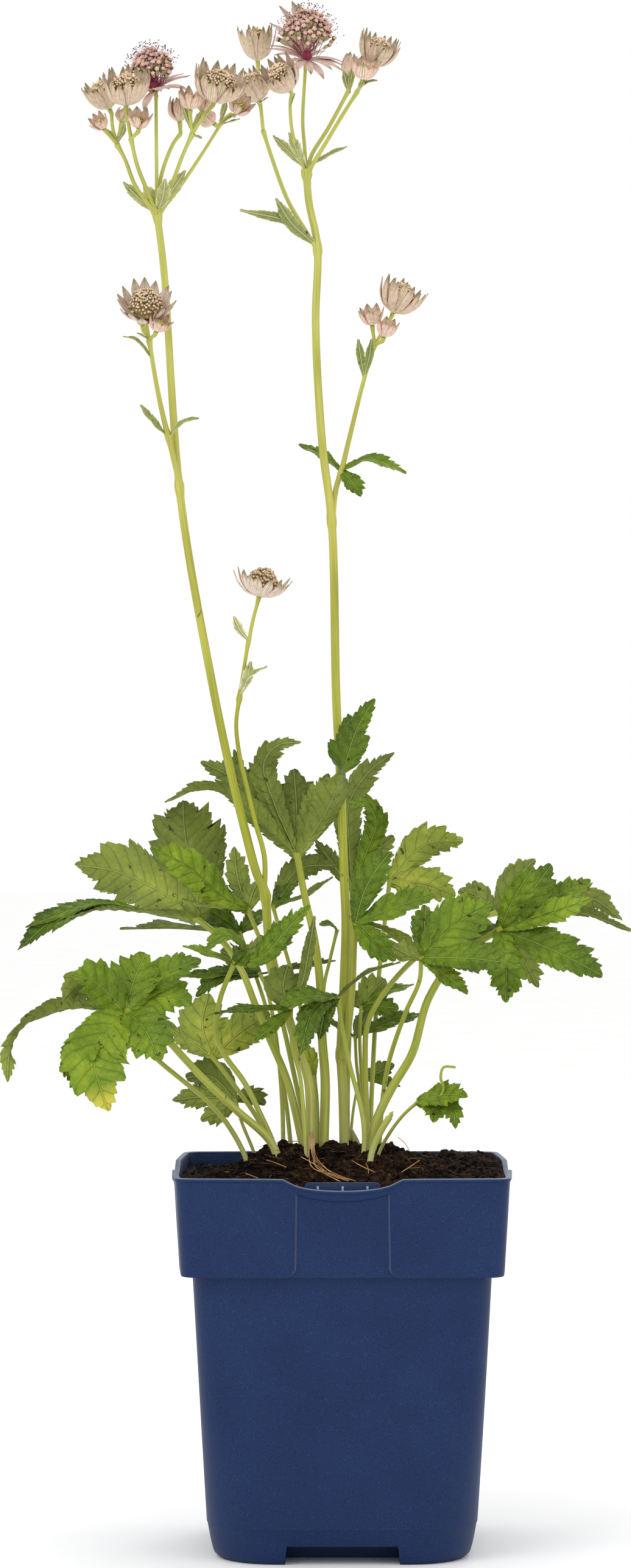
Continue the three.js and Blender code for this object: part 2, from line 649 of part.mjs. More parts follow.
// Flower stems. Each has its main line, its side lines and the bracts at its joints.
const stems = {
  stem_left: {
    lines: [
      { girth: [1.75, 1.35], line: [[-9.5, -9.5, 118], [-10.4, -9.5, 133], [-11, -9.5, 154],
        [-13.8, -9, 163.5], [-17, -8, 173], [-22.6, -8, 192.7], [-24.4, -9, 202.5],
        [-25.8, -11, 217.7], [-28.3, -12, 223.4], [-33, -14, 241], [-37.6, -16, 260],
        [-43.3, -18, 287.6], [-53.7, -22, 348.6], [-59.3, -24, 424.8], [-61.6, -24, 444]] },
      { girth: [1.3, 0.75], line: [[-25.8, -11, 216], [-25.8, -12, 229.3], [-28.9, -13.5, 241],
        [-31.7, -14.5, 252.7], [-34.1, -15, 263.2], [-35.2, -16, 273.6], [-34.1, -16, 282.3],
        [-31.1, -16, 301.4]] },
      { girth: [1.3, 0.8], line: [[-53.9, -22, 353], [-56.5, -26, 364], [-60.4, -30, 380],
        [-62.4, -33, 390.4], [-64.2, -35, 401.8]] },
      { girth: [1, 0.8], line: [[-61.6, -24, 443], [-64.5, -27, 447], [-68.9, -30, 453.2],
        [-72.3, -32, 462], [-75, -33, 467]] },
      { girth: [1, 0.8], line: [[-61.6, -24, 443], [-65.2, -29, 452.2], [-68.3, -34, 460.3],
        [-70.3, -37, 468.9]] },
      { girth: [0.9, 0.75], line: [[-61.6, -24, 443], [-60.2, -20, 456.3], [-56.1, -17, 467.4],
        [-53.7, -16, 470.5]] },
      { girth: [0.9, 0.75], line: [[-61.6, -24, 443], [-56.5, -26, 454.2], [-53, -27, 463.4],
        [-49.8, -28, 470.5]] },
      { girth: [0.8, 0.6], line: [[-61.6, -24, 443], [-53, -19, 454.2], [-44.9, -14, 466.4],
        [-39.8, -12, 474.6]] },
    ],
    knuckles: [[2.3, 1.7, [-25.7, -11, 216]], [1.7, 1.7, [-34.1, -16, 282.3]],
      [2, 1.7, [-54, -22.3, 352.5]], [1.5, 1.4, [-57.8, -27.5, 369.5]],
      [2.4, 1.2, [-61.6, -24, 443.6]]],
    bracts: [
      [4, 150, [-34.1, -16, 283], [-31.5, -18, 289], [-30.3, -18, 294.5]],
      [3, 60, [-34.1, -16, 283], [-30.5, -19, 289.5], [-24.8, -21, 292.7]],
      [3, 170, [-31.1, -16, 301.4], [-34, -17, 305], [-36, -18, 309.5]],
      [4, 60, [-57.8, -27.5, 369], [-63, -29, 374.5], [-67.3, -30, 380]],
      [4, 60, [-57.8, -27.5, 369], [-53, -30, 374], [-47.6, -32, 375.6]],
      [4, 150, [-61.6, -24, 444], [-67, -27.5, 448.5], [-73, -28, 454.4]],
      [5, 150, [-61.6, -24, 444], [-63.5, -22, 449], [-66.2, -21, 453.5]],
      [5, 160, [-61.6, -24, 444], [-59.5, -29, 450], [-58.9, -31, 455.5]],
      [5, 150, [-61.6, -24, 444], [-57, -22, 451], [-52, -20, 458.3]],
    ],
  },
  stem_right: {
    lines: [
      { girth: [1.75, 1.4], line: [[0.8, -2, 118], [0.8, -2, 133], [0.4, -2, 151], [-0.2, -2, 163.5],
        [0.5, -2, 180], [1.4, -1, 207.2], [0.8, 2, 222.6], [-0.2, 6, 251], [-1.8, 8, 281.5],
        [-3.3, 10, 340.4], [-6.5, 10, 367], [-8.7, 12, 407], [-8.1, 12, 432.9], [-11, 12, 448.1],
        [-11.8, 12, 458.7]] },
      { girth: [1.5, 1.1], line: [[0, -3, 162], [2, -4.5, 172], [3.5, -6, 186], [4, -7.5, 198],
        [4.5, -9, 207]] },
      { girth: [1.2, 0.7], line: [[-3.2, 10, 342], [-1.8, 12, 352.6], [-0.2, 13.5, 357.5],
        [2.4, 14.5, 368.3], [7.5, 15, 388.8], [11, 16, 400.2]] },
      { girth: [1, 0.8], line: [[-8.2, 12, 432], [-12, 10, 438], [-17.9, 7, 448.1],
        [-22.6, 5, 460.3], [-26.2, 4, 471.5]] },
      { girth: [0.9, 0.8], line: [[-11.8, 12, 457], [-10, 13, 463.4], [-4.7, 15, 472], [2, 17, 484.3]] },
      { girth: [0.9, 0.8], line: [[-11.8, 12, 457], [-8, 8, 463], [0.8, 4, 477.6], [5.3, 3, 484.7]] },
    ],
    knuckles: [[2.2, 1.7, [0, -2.5, 163]], [1.8, 1.7, [-3.2, 10, 341.5]],
      [1.9, 1.7, [-8.3, 12, 432]], [1.4, 1.4, [-0.2, 13.5, 357.5]], [2.2, 1.2, [-11.8, 12, 458]]],
    bracts: [
      [10, 30, [4.5, -9, 207], [7.5, -8, 217.5], [12, -7, 225.5], [16.5, -5, 231]],
      [11, 45, [4.5, -9, 207], [17, -12, 212], [31, -14, 216.5]],
      [7, 110, [4.5, -9, 207], [15, -9.5, 204.5], [29, -8, 194.5]],
      [9, 20, [4.5, -9, 207], [10.5, -15, 201], [18, -17, 194.5]],
      [5, 60, [-0.2, 13.5, 358], [-7, 17, 363.5], [-14.4, 19, 366.7]],
      [6, 60, [-0.2, 13.5, 358], [9, 11, 361.8], [21.5, 8, 357.1]],
      [6, 30, [-0.2, 13.5, 358], [3.5, 9, 354], [6.5, 6, 349.6]],
      [3, 30, [7.5, 15, 389], [6.3, 13, 396], [5.5, 12, 402]],
      [3, 30, [7.5, 15, 389], [9.2, 13, 396], [10, 11, 402]],
      [3.5, 160, [-8.2, 12, 433], [-16, 5, 440.5], [-34, -2, 445]],
      [5, 165, [-8.2, 12, 433], [-17, 3, 441], [-22, -1, 449]],
      [4, 120, [-11.8, 12, 458.7], [-14.5, 8, 464], [-17.7, 6, 471]],
      [3.5, 150, [-11.8, 12, 458.7], [-17, 13, 464], [-23, 15, 469.9]],
      [3.5, 60, [-11.8, 12, 458.7], [-5, 11, 463], [1.8, 11, 466.2]],
    ],
  },
};

// Flower heads. on: the stem that carries it; way: its stalk up to the head; lean: where the head
// points; form: one of headForms; r and h: its half width and its height, without the florets.
const heads = {
  head_cream: { on: 'stem_left', way: [[-70.3, -37, 468.9], [-71.9, -42, 480]],
    lean: [0.1, -0.15, 1], form: 'cup', r: 7.6, h: 9 },
  head_cream_left: { on: 'stem_left', way: [[-75, -33, 467], [-76.5, -31, 473], [-77.4, -29.5, 478.6]],
    lean: [-0.45, 0, 1], form: 'cup', r: 6.2, h: 8.2 },
  star_far_left: { on: 'stem_left', way: [[-75, -33, 467], [-79.3, -37.5, 472.3]],
    lean: [-0.6, -0.8, 0.8], form: 'star', r: 3, h: 3.2 },
  bud_inner: { on: 'stem_left', way: [[-75, -33, 467], [-73.4, -28, 474]],
    lean: [0.2, 0.4, 1], form: 'bud', r: 2.4, h: 5 },
  star_left: { on: 'stem_left', way: [[-70.3, -37, 468.9], [-67.7, -42, 472.6]],
    lean: [0.1, -0.7, 1], form: 'star', r: 4, h: 3.6 },
  head_maroon_left: { on: 'stem_left', way: [[-61.6, -24, 443], [-61.8, -21, 464.4], [-62.2, -20, 484.5]],
    lean: [-0.15, -0.2, 1], form: 'open', r: 13.5, h: 5.5 },
  bud_middle: { on: 'stem_left', way: [[-53.7, -16, 470.5], [-54, -15, 474]],
    lean: [-0.1, 0.1, 1], form: 'bud', r: 3, h: 8.5 },
  star_middle: { on: 'stem_left', way: [[-49.8, -28, 470.5], [-50.5, -30, 478.5]],
    lean: [0.1, -0.4, 1], form: 'star', r: 4.2, h: 4.4 },
  bud_pink: { on: 'stem_left', way: [[-49.8, -28, 470.5], [-46.5, -25, 477.5]],
    lean: [0.2, 0.3, 1], form: 'bud', r: 2.6, h: 6 },
  head_large: { on: 'stem_left', way: [[-49.8, -28, 470.5], [-45.9, -30, 476.6], [-42.5, -31, 481.4]],
    lean: [0.35, -0.25, 1], form: 'cup', r: 9, h: 9 },
  star_dark: { on: 'stem_left', way: [[-39.8, -12, 474.6], [-37, -14, 477], [-35.2, -15, 477.6]],
    lean: [0.5, -0.9, 0.7], form: 'star', r: 4.4, h: 4.2 },
  bud_low: { on: 'stem_left', way: [[-39.8, -12, 474.6], [-42.5, -15, 473.8]],
    lean: [-0.7, -0.4, 0.5], form: 'bud', r: 3, h: 5.5 },
  head_lower: { on: 'stem_left', way: [[-64.2, -35, 401.8], [-65.3, -38, 409.6]],
    lean: [0.1, -0.5, 1], form: 'flared', r: 9.6, h: 9.5 },
  star_lower: { on: 'stem_left', way: [[-64.2, -35, 401.8], [-61.8, -43, 404.6]],
    lean: [0.5, -0.8, 1], form: 'star', r: 3.6, h: 3.8 },
  bud_lower: { on: 'stem_left', way: [[-64.2, -35, 401.8], [-66.3, -31, 406]],
    lean: [-0.2, 0.3, 1], form: 'bud', r: 1.5, h: 4 },
  head_single: { on: 'stem_left', way: [[-31.1, -16, 300], [-29.9, -16, 306.9], [-27.6, -16, 315.9]],
    lean: [0.2, -0.2, 1], form: 'cup', r: 9.4, h: 8.8 },
  star_side: { on: 'stem_right', way: [[11, 16, 400], [10.2, 15, 406.5]],
    lean: [-0.1, -0.4, 1], form: 'star', r: 4.2, h: 4.2 },
  star_side_low: { on: 'stem_right', way: [[11, 16, 400], [14, 10, 402.6]],
    lean: [0.3, -0.5, 1], form: 'star', r: 4, h: 4 },
  head_side: { on: 'stem_right', way: [[11, 16, 400], [15.5, 18, 407.5], [17.1, 18, 410.6]],
    lean: [0.45, -0.2, 1], form: 'cup', r: 7.6, h: 9 },
  head_pale: { on: 'stem_right', way: [[-26.2, 4, 471.5], [-27.6, 5.5, 481.2]],
    lean: [-0.4, -0.25, 1], form: 'cup', r: 6.6, h: 8.4 },
  head_top_left: { on: 'stem_right', way: [[-26.2, 4, 471.5], [-27.3, 16, 483], [-28, 25, 494.6]],
    lean: [-0.15, 0.1, 1], form: 'cup', r: 6.6, h: 9 },
  head_sideways: { on: 'stem_right', way: [[-11.8, 12, 457], [-15, 8, 465.4], [-16.7, 5, 472.5],
    [-17.1, 0, 481.7], [-17.3, -3, 485]], lean: [-0.45, -0.45, 1], form: 'cup', r: 6.4, h: 9 },
  head_maroon_right: { on: 'stem_right', way: [[-11.8, 12, 457], [-12.4, 14, 466.4],
    [-13, 16, 474.6], [-12, 16, 494.6]], lean: [0.05, -0.35, 1], form: 'open', r: 14, h: 6.2 },
  bud_right: { on: 'stem_right', way: [[2, 17, 484.3], [2.4, 17.5, 488.5]],
    lean: [0.1, 0.1, 1], form: 'bud', r: 3, h: 8.5 },
  star_right: { on: 'stem_right', way: [[5.3, 3, 484.7], [7, 2, 488.5]],
    lean: [0.2, -0.5, 1], form: 'star', r: 5.4, h: 4.6 },
  head_right: { on: 'stem_right', way: [[5.3, 3, 484.7], [8.5, 8, 489.5], [10.2, 9, 493]],
    lean: [0.45, 0.1, 1], form: 'cup', r: 7, h: 8.4 },
};

// For each form: bracts round the head, their profile (out, up), and the dome of florets
const headForms = {
  cup: { bracts: 8, mid: [0.66, 0.3], shoulder: [0.95, 0.66], tip: [1.02, 1.12],
    dome: { wide: 0.6, low: 0.62, top: 1.2 } },
  open: { bracts: 9, mid: [0.36, 0.42], shoulder: [0.74, 0.62], tip: [1, 0.3],
    dome: { wide: 0.68, low: 1.1, top: 3 } },
  flared: { bracts: 9, mid: [0.5, 0.3], shoulder: [0.85, 0.7], tip: [1.05, 1.1],
    dome: { wide: 0.64, low: 0.55, top: 1.35 } },
  star: { bracts: 5, mid: [0.55, 0.35], shoulder: [0.85, 0.75], tip: [1.15, 1.25],
    dome: { wide: 0.5, low: 0.6, top: 0.95 } },
  bud: { bracts: 4 },
};

// A smooth turn that carries +Z onto the way a head leans
function turned(points, at, lean) {
  const aim = new THREE.Vector3(...lean).normalize();
  const turn = new THREE.Quaternion().setFromUnitVectors(up, aim);
  return points.map((p) => p.clone().applyQuaternion(turn).add(at));
}

const polar = (r, turn, z) => new THREE.Vector3(r * Math.cos(turn), r * Math.sin(turn), z);

function makeBud({ r, h }) {
  const count = headForms.bud.bracts * 2;
  const points = [polar(0, 0, 0)];
  const faces = [];
  for (let i = 0; i < count; i += 1) points.push(polar(r, (2 * Math.PI * i) / count, 0.45 * h));
  for (let i = 0; i < count; i += 1) {
    const [share, rise] = i % 2 === 0 ? [0.75, 1] : [0.45, 0.7];
    points.push(polar(share * r, (2 * Math.PI * i) / count, rise * h));
  }
  const peak = points.push(polar(0, 0, 0.8 * h)) - 1;
  for (let i = 0; i < count; i += 1) {
    const j = (i + 1) % count;
    const [a, b, c, d] = [1 + i, 1 + j, 1 + count + j, 1 + count + i];
    faces.push([0, b, a], [a, b, c], [a, c, d], [d, c, peak]);
  }
  return { points, faces };
}

// A head is one closed skin: outside of the bracts, over their points, inside, dome of florets
function headSkin({ form, r, h }) {
  const { bracts: n, dome, ...spots } = headForms[form];
  const step = (2 * Math.PI) / n;
  const points = [polar(0, 0, 0)];
  const faces = [];
  const ring = (radius, z, turn) => Array.from({ length: n }, (_, k) => points.push(
    polar(radius, k * step + turn, z)) - 1);
  const order = ['mid', 'shoulder', 'tip'];
  const inward = (name) => {
    const i = order.indexOf(name);
    const before = i === 0 ? [0, 0] : spots[order[i - 1]];
    const after = spots[order[Math.min(i + 1, 2)]];
    const run = new THREE.Vector2((after[0] - before[0]) * r, (after[1] - before[1]) * h).normalize();
    return [-run.y * sepal.thick, run.x * sepal.thick];
  };
  const spread = sepal.breadth * step * 0.5;
  const side = (isInside) => {
    const at = (name) => {
      const shift = isInside ? inward(name) : [0, 0];
      return [spots[name][0] * r + shift[0], spots[name][1] * h + shift[1]];
    };
    return {
      valley: ring(...at('mid'), step / 2),
      left: ring(...at('shoulder'), -spread),
      right: ring(...at('shoulder'), spread),
      tip: ring(...at('tip'), 0),
    };
  };
  const outside = side(false);
  const inside = side(true);
  const rise = (share) => (dome.low + (dome.top - dome.low) * share) * h;
  const skirt = ring(dome.wide * r, rise(0), step / 2);
  const crown = ring(dome.wide * r * 0.72, rise(0.74), 0);
  const peak = points.push(polar(0, 0, rise(1))) - 1;
  const quad = (a, b, c, d) => faces.push([a, b, c], [a, c, d]);
  for (let k = 0; k < n; k += 1) {
    const p = (k + n - 1) % n;
    faces.push([0, outside.valley[k], outside.valley[p]]);
    quad(outside.valley[p], outside.valley[k], outside.right[k], outside.left[k]);
    faces.push([outside.left[k], outside.right[k], outside.tip[k]]);
    quad(outside.right[k], outside.valley[k], inside.valley[k], inside.right[k]);
    quad(outside.tip[k], outside.right[k], inside.right[k], inside.tip[k]);
    quad(outside.left[k], outside.tip[k], inside.tip[k], inside.left[k]);
    quad(outside.valley[p], outside.left[k], inside.left[k], inside.valley[p]);
    quad(inside.valley[k], inside.valley[p], inside.left[k], inside.right[k]);
    faces.push([inside.right[k], inside.left[k], inside.tip[k]]);
    quad(inside.valley[p], inside.valley[k], skirt[k], skirt[p]);
    faces.push([skirt[p], skirt[k], crown[k]], [skirt[k], crown[(k + 1) % n], crown[k]]);
    faces.push([crown[k], crown[(k + 1) % n], peak]);
  }
  return { points, faces };
}

function makeHead(head) {
  const end = place(head.way[head.way.length - 1]);
  const aim = new THREE.Vector3(...head.lean).normalize();
  const at = end.clone().addScaledVector(aim, seat);
  const { points, faces } = head.form === 'bud' ? makeBud(head) : headSkin(head);
  return bodyOf(turned(points, at, head.lean), faces);
}

// The stalk of a head comes up square to the head's foot
function headStalk({ way, lean }) {
  const aim = new THREE.Vector3(...lean).normalize();
  const line = way.map(place);
  const end = line[line.length - 1];
  const before = end.clone().addScaledVector(aim, -1.6);
  const samples = walk([...line.slice(0, -1), before], stretch.pedicel);
  return stem([...samples, end], 0.85, 0.75, sides.pedicel);
}

function makeStem(name) {
  const { lines, knuckles, bracts } = stems[name];
  const parts = [];
  let root = null;
  lines.forEach(({ girth, line }, i) => {
    const samples = walk(line.map(place), i === 0 ? stretch.stem : stretch.stalk);
    if (i === 0) root = { samples, girth: girth[0] };
    parts.push(stem(samples, girth[0], girth[1], i === 0 ? sides.stem : sides.stalk));
  });
  for (const [size, tall, at] of knuckles) parts.push(knot(place(at), size, tall));
  for (const [width, face, from, ...path] of bracts) {
    parts.push(bladeOf(place(from), [width, face, ...path]));
  }
  for (const head of Object.values(heads)) {
    if (head.on === name) parts.push(headStalk(head));
  }
  return { body: fuse(parts), ...root };
}

// A petiole cut short, the pale crown bud and a young leaf still rolled in its sheath
const stub = { girth: [1, 1.1], line: [[9, -18.5, 118], [9.8, -18.5, 129.5], [13, -18.5, 137.5],
  [16.7, -18.5, 143.5]] };
const crownBud = { line: [[4.6, 3, 118], [4.6, 3, 127], [4.8, 2.6, 133], [3.2, 2.2, 138.5]],
  radii: [1.6, 2.1, 1.8, 0.4] };
const sheath = { girth: [1, 0.7], petiole: [[-8.2, 0.5, 118], [-8.2, 0.5, 133], [-8.3, 0, 147.5],
  [-9.2, -1, 156.5]], lobes: [[5, 20, [-10.2, -1.5, 161], [-12, -2, 167]]] };

function makeStub() {
  const samples = walk(stub.line.map(place), 6);
  const outer = stem(samples, stub.girth[0], stub.girth[1], sides.petiole);
  const end = samples[samples.length - 1];
  const down = samples[samples.length - 2].clone().sub(end).normalize();
  const bore = [end.clone().addScaledVector(down, -0.3), end.clone().addScaledVector(down, 2.2)];
  return { body: outer.subtract(stem(bore, 0.6, 0.5, 5)), samples, girth: stub.girth[0] };
}

function makeCrownBud() {
  const samples = crownBud.line.map(place);
  const rings = samples.map((p, i) => Array.from({ length: 7 }, (_, k) => p.clone()
    .add(polar(crownBud.radii[i], (2 * Math.PI * k) / 7, 0))));
  return { body: loft(rings), samples, girth: Math.max(...crownBud.radii) + 0.2 };
}

// Soil

// Height of the soil: a base level lower at the back left, a mound round the crown, and crumbs
function soilHeight(x, y) {
  const level = 121.4 + 0.03 * x + 0.01 * y;
  const mound = 11.5 * Math.exp(-(((x + 4) / 24) ** 2) - (((y - 2) / 22) ** 2));
  const crumb = 0.9 * Math.sin(0.61 * x + 1.3) * Math.cos(0.53 * y)
    + 0.6 * Math.sin(1.31 * x - 0.4 * y) + 0.5 * Math.cos(1.07 * y + 0.7 * x);
  return level + mound + crumb;
}

function makeSoil(rooted) {
  const gap = pot.clearance;
  const tall = 150;
  const filling = cavity(gap, tall).add(islandCavity(gap));
  const rim = potRing(pot.halfRim + 6, 4, pot.bow, 0);
  const shares = [1, 0.75, 0.5, 0.25];
  const rings = [rim.map((p) => new THREE.Vector3(p.x, p.y, -5))];
  for (const share of shares) {
    rings.push(rim.map((p) => {
      const x = p.x * share;
      const y = p.y * share;
      return new THREE.Vector3(x, y, soilHeight(x, y));
    }));
  }
  let body = filling.intersect(loft(rings));
  body = body.subtract(bodyOfGeometry(block(-pocket.half - gap, pocket.half + gap,
    pocketWall - 6, pocketFace + pocket.plate + gap, pocket.low - gap, tall)));
  for (const { samples, girth } of rooted) {
    const low = samples[0];
    const next = samples[1];
    const along = next.clone().sub(low).normalize();
    const path = [low.clone().addScaledVector(along, -seat)];
    for (const p of samples.slice(1)) {
      path.push(p);
      if (p.z > 140) break;
    }
    body = body.subtract(stem(path, girth + seat + 0.1, girth + seat, sides.petiole));
  }
  return body;
}

// The finished part

const colours = {
  pot: 0x1f3a6e, soil: 0x33241b, leaf: 0x4f8a2c, stem: 0xa9b04a, bloom: 0xd8b9ae, bud: 0xc99a94,
};
const finish = {};
for (const [name, color] of Object.entries(colours)) {
  finish[name] = new THREE.MeshStandardMaterial({ color, roughness: 0.6, metalness: 0 });
}

const plant = new THREE.Group();
function show(name, body, material) {
  const mesh = new THREE.Mesh(geometryOf(body), material);
  mesh.name = name;
  plant.add(mesh);
}

const rooted = [];
const keepRoot = (made) => {
  rooted.push({ samples: made.samples, girth: made.girth });
  return made.body;
};
show('pot', makePot(), finish.pot);
for (const [name, leaf] of Object.entries(leaves)) show(name, keepRoot(makeLeaf(leaf)), finish.leaf);
for (const name of Object.keys(stems)) show(name, keepRoot(makeStem(name)), finish.stem);
show('petiole_stub', keepRoot(makeStub()), finish.stem);
show('crown_bud', keepRoot(makeCrownBud()), finish.stem);
show('leaf_in_sheath', keepRoot(makeLeaf(sheath)), finish.leaf);
show('soil', makeSoil(rooted), finish.soil);
for (const [name, head] of Object.entries(heads)) {
  show(name, makeHead(head), head.form === 'bud' ? finish.bud : finish.bloom);
}

export default plant;
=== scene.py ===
import random

import bpy
from math import atan2, ceil, cos, exp, floor, hypot, pi, radians, sin, sqrt
from mathutils import Matrix, Vector, noise


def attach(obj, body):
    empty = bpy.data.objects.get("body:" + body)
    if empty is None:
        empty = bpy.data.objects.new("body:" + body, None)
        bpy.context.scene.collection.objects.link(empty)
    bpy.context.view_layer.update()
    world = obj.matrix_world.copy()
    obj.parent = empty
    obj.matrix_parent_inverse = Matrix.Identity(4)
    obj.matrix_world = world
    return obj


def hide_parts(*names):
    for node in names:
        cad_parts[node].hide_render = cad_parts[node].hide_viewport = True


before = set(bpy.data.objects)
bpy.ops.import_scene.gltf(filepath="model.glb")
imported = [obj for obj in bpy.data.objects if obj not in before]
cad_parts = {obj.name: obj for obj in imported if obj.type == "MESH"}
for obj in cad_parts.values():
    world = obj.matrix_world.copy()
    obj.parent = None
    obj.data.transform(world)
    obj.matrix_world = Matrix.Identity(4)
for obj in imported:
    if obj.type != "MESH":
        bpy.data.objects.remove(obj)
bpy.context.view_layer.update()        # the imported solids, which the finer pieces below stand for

mm = 0.001
print("frame loaded")

# Camera: level, at the height of the leaves' tops, looking along +Y
viewPoint = {"place": (-8.74, -1500, 253.5), "lens": 103.2, "sensor": 36}

camera = bpy.data.objects.new("camera", bpy.data.cameras.new("camera"))
camera.data.lens = viewPoint["lens"]
camera.data.sensor_width = viewPoint["sensor"]
camera.location = Vector(viewPoint["place"]) * mm
camera.rotation_euler = (radians(90), 0, 0)
camera.data.clip_end = 20
bpy.context.scene.collection.objects.link(camera)
bpy.context.scene.camera = camera


# Small tools for meshes and node trees

def addNode(tree, kind, settings=None, inputs=None):
    # inputs: socket name or number, and what goes in: a value or another node's output
    node = tree.nodes.new(kind)
    for name, value in (settings or {}).items():
        setattr(node, name, value)
    for key, value in (inputs or {}).items():
        if isinstance(value, bpy.types.NodeSocket):
            tree.links.new(value, node.inputs[key])
        else:
            node.inputs[key].default_value = value
    return node


def colourOf(hexCode, alpha=1.0):
    # sRGB hex to the linear colour that the sockets take
    parts = [int(hexCode[i:i + 2], 16) / 255 for i in (1, 3, 5)]
    return (*[c / 12.92 if c <= 0.04045 else ((c + 0.055) / 1.055) ** 2.4 for c in parts], alpha)


def newSkin():
    return {"points": [], "faces": [], "uvs": [], "skins": [], "tones": []}


def meshOf(name, skin, materials, turn=None):
    # points in millimetres; uvs and tones go with the points
    mesh = bpy.data.meshes.new(name)
    points = [turn @ p for p in skin["points"]] if turn else skin["points"]
    mesh.from_pydata([tuple(p * mm) for p in points], [], skin["faces"])
    for material in materials:
        mesh.materials.append(material)
    if skin["skins"]:
        mesh.polygons.foreach_set("material_index", skin["skins"])
    if skin["uvs"]:
        layer = mesh.uv_layers.new(name="shape")
        for loop in mesh.loops:
            layer.data[loop.index].uv = skin["uvs"][loop.vertex_index]
    if skin["tones"]:
        paint = mesh.color_attributes.new("paint", "FLOAT_COLOR", "POINT")
        for i, tone in enumerate(skin["tones"]):
            paint.data[i].color = tone
    mesh.validate()
    mesh.shade_smooth()
    return mesh


def holderOf(name, data):
    holder = bpy.data.objects.new(name, data)
    bpy.context.scene.collection.objects.link(holder)
    return holder


def grown(holder, tree, values):
    # runs a Geometry Nodes tree on an object and gives the result as a plain mesh
    modifier = holder.modifiers.new("grow", "NODES")
    modifier.node_group = tree
    for socket in tree.interface.items_tree:
        if socket.item_type == "SOCKET" and socket.in_out == "INPUT" and socket.name in values:
            modifier[socket.identifier] = values[socket.name]
    result = holder.evaluated_get(bpy.context.evaluated_depsgraph_get())
    mesh = bpy.data.meshes.new_from_object(result)
    holder.modifiers.remove(modifier)
    bpy.data.objects.remove(holder)
    return mesh


def joined(name, meshes):
    holders = [holderOf(name, mesh) for mesh in meshes]
    if len(holders) > 1:
        with bpy.context.temp_override(
            active_object=holders[0], object=holders[0],
            selected_objects=holders, selected_editable_objects=holders,
        ):
            bpy.ops.object.join()
    holders[0].data.name = name
    return holders[0]


def settle(piece, node, sharp=None):
    # the finished piece stands for its solid, which is hidden; it hangs under the root body and takes its finish from
    # its slots
    if sharp:
        piece.data.set_sharp_from_angle(angle=radians(sharp))
    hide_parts(node)
    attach(piece, "root")


def newTree(name, inputs):
    tree = bpy.data.node_groups.new(name, "GeometryNodeTree")
    tree.interface.new_socket("Geometry", in_out="INPUT", socket_type="NodeSocketGeometry")
    for socket, kind in inputs.items():
        tree.interface.new_socket(socket, in_out="INPUT", socket_type="NodeSocket" + kind)
    tree.interface.new_socket("Geometry", in_out="OUTPUT", socket_type="NodeSocketGeometry")
    return tree, addNode(tree, "NodeGroupInput").outputs


def endTree(tree, geometry, given):
    real = addNode(tree, "GeometryNodeRealizeInstances", None, {0: geometry})
    skin = addNode(tree, "GeometryNodeSetMaterial", None, {0: real.outputs[0], 2: given["Finish"]})
    addNode(tree, "NodeGroupOutput", None, {0: skin.outputs[0]})


# Places on the plant are set out as they show from the front, in the plane of the pot's axis,
# with the true depth y, in millimetres; this gives the true place

viewEye = Vector((-8.7, -1500, 253.5))


def place(spot):
    x, y, z = spot
    spread = (y - viewEye.y) / -viewEye.y
    return Vector((viewEye.x + (x - viewEye.x) * spread, y, viewEye.z + (z - viewEye.z) * spread))


def smoothLine(points, longest=None, count=None):
    # even steps along a centripetal Catmull-Rom line
    ends = [points[0] * 2 - points[1], *points, points[-1] * 2 - points[-2]]
    fine = []
    for a, b, c, d in zip(ends, ends[1:], ends[2:], ends[3:]):
        t1 = sqrt((b - a).length)
        t2 = t1 + sqrt((c - b).length)
        t3 = t2 + sqrt((d - c).length)
        for k in range(16):
            t = t1 + (t2 - t1) * k / 16
            a1 = a.lerp(b, t / t1)
            a2 = b.lerp(c, (t - t1) / (t2 - t1))
            a3 = c.lerp(d, (t - t2) / (t3 - t2))
            fine.append(a1.lerp(a2, t / t2).lerp(a2.lerp(a3, (t - t1) / (t3 - t1)), (t - t1) / (t2 - t1)))
    fine.append(points[-1].copy())
    reach = [0]
    for a, b in zip(fine, fine[1:]):
        reach.append(reach[-1] + (b - a).length)
    steps = count or max(1, ceil(reach[-1] / longest))
    line = []
    k = 0
    for i in range(steps + 1):
        goal = reach[-1] * i / steps
        while k < len(reach) - 2 and reach[k + 1] < goal:
            k += 1
        line.append(fine[k].lerp(fine[k + 1], (goal - reach[k]) / max(1e-9, reach[k + 1] - reach[k])))
    return line


def lineLength(line):
    return sum((b - a).length for a, b in zip(line, line[1:]))


# Finishes. Each is named for the real surface; colours are sRGB.

def newFinish(name, principled):
    material = bpy.data.materials.new(name)
    material.use_nodes = True
    tree = material.node_tree
    shader = tree.nodes["Principled BSDF"]
    for socket, value in principled.items():
        shader.inputs[socket].default_value = value
    return material, tree, shader


def ramp(tree, factor, stops):
    node = addNode(tree, "ShaderNodeValToRGB", None, {0: factor})
    spots = node.color_ramp.elements
    while len(spots) < len(stops):
        spots.new(1)
    for spot, (at, hexCode) in zip(spots, stops):
        spot.position = at
        spot.color = colourOf(hexCode)
    return node.outputs[0]


def blendOf(tree, factor, a, b, way="MIX"):
    node = addNode(tree, "ShaderNodeMix", {"data_type": "RGBA", "blend_type": way}, {0: factor, 6: a, 7: b})
    return node.outputs[2]


def sumOf(tree, way, a, b=0.0, c=0.0):
    return addNode(tree, "ShaderNodeMath", {"operation": way}, {0: a, 1: b, 2: c}).outputs[0]


def relief(tree, shader, height, depth, reach=1.0):
    # depth in millimetres
    bump = addNode(tree, "ShaderNodeBump", None, {"Height": height, "Distance": depth * mm, "Strength": reach})
    tree.links.new(bump.outputs[0], shader.inputs["Normal"])


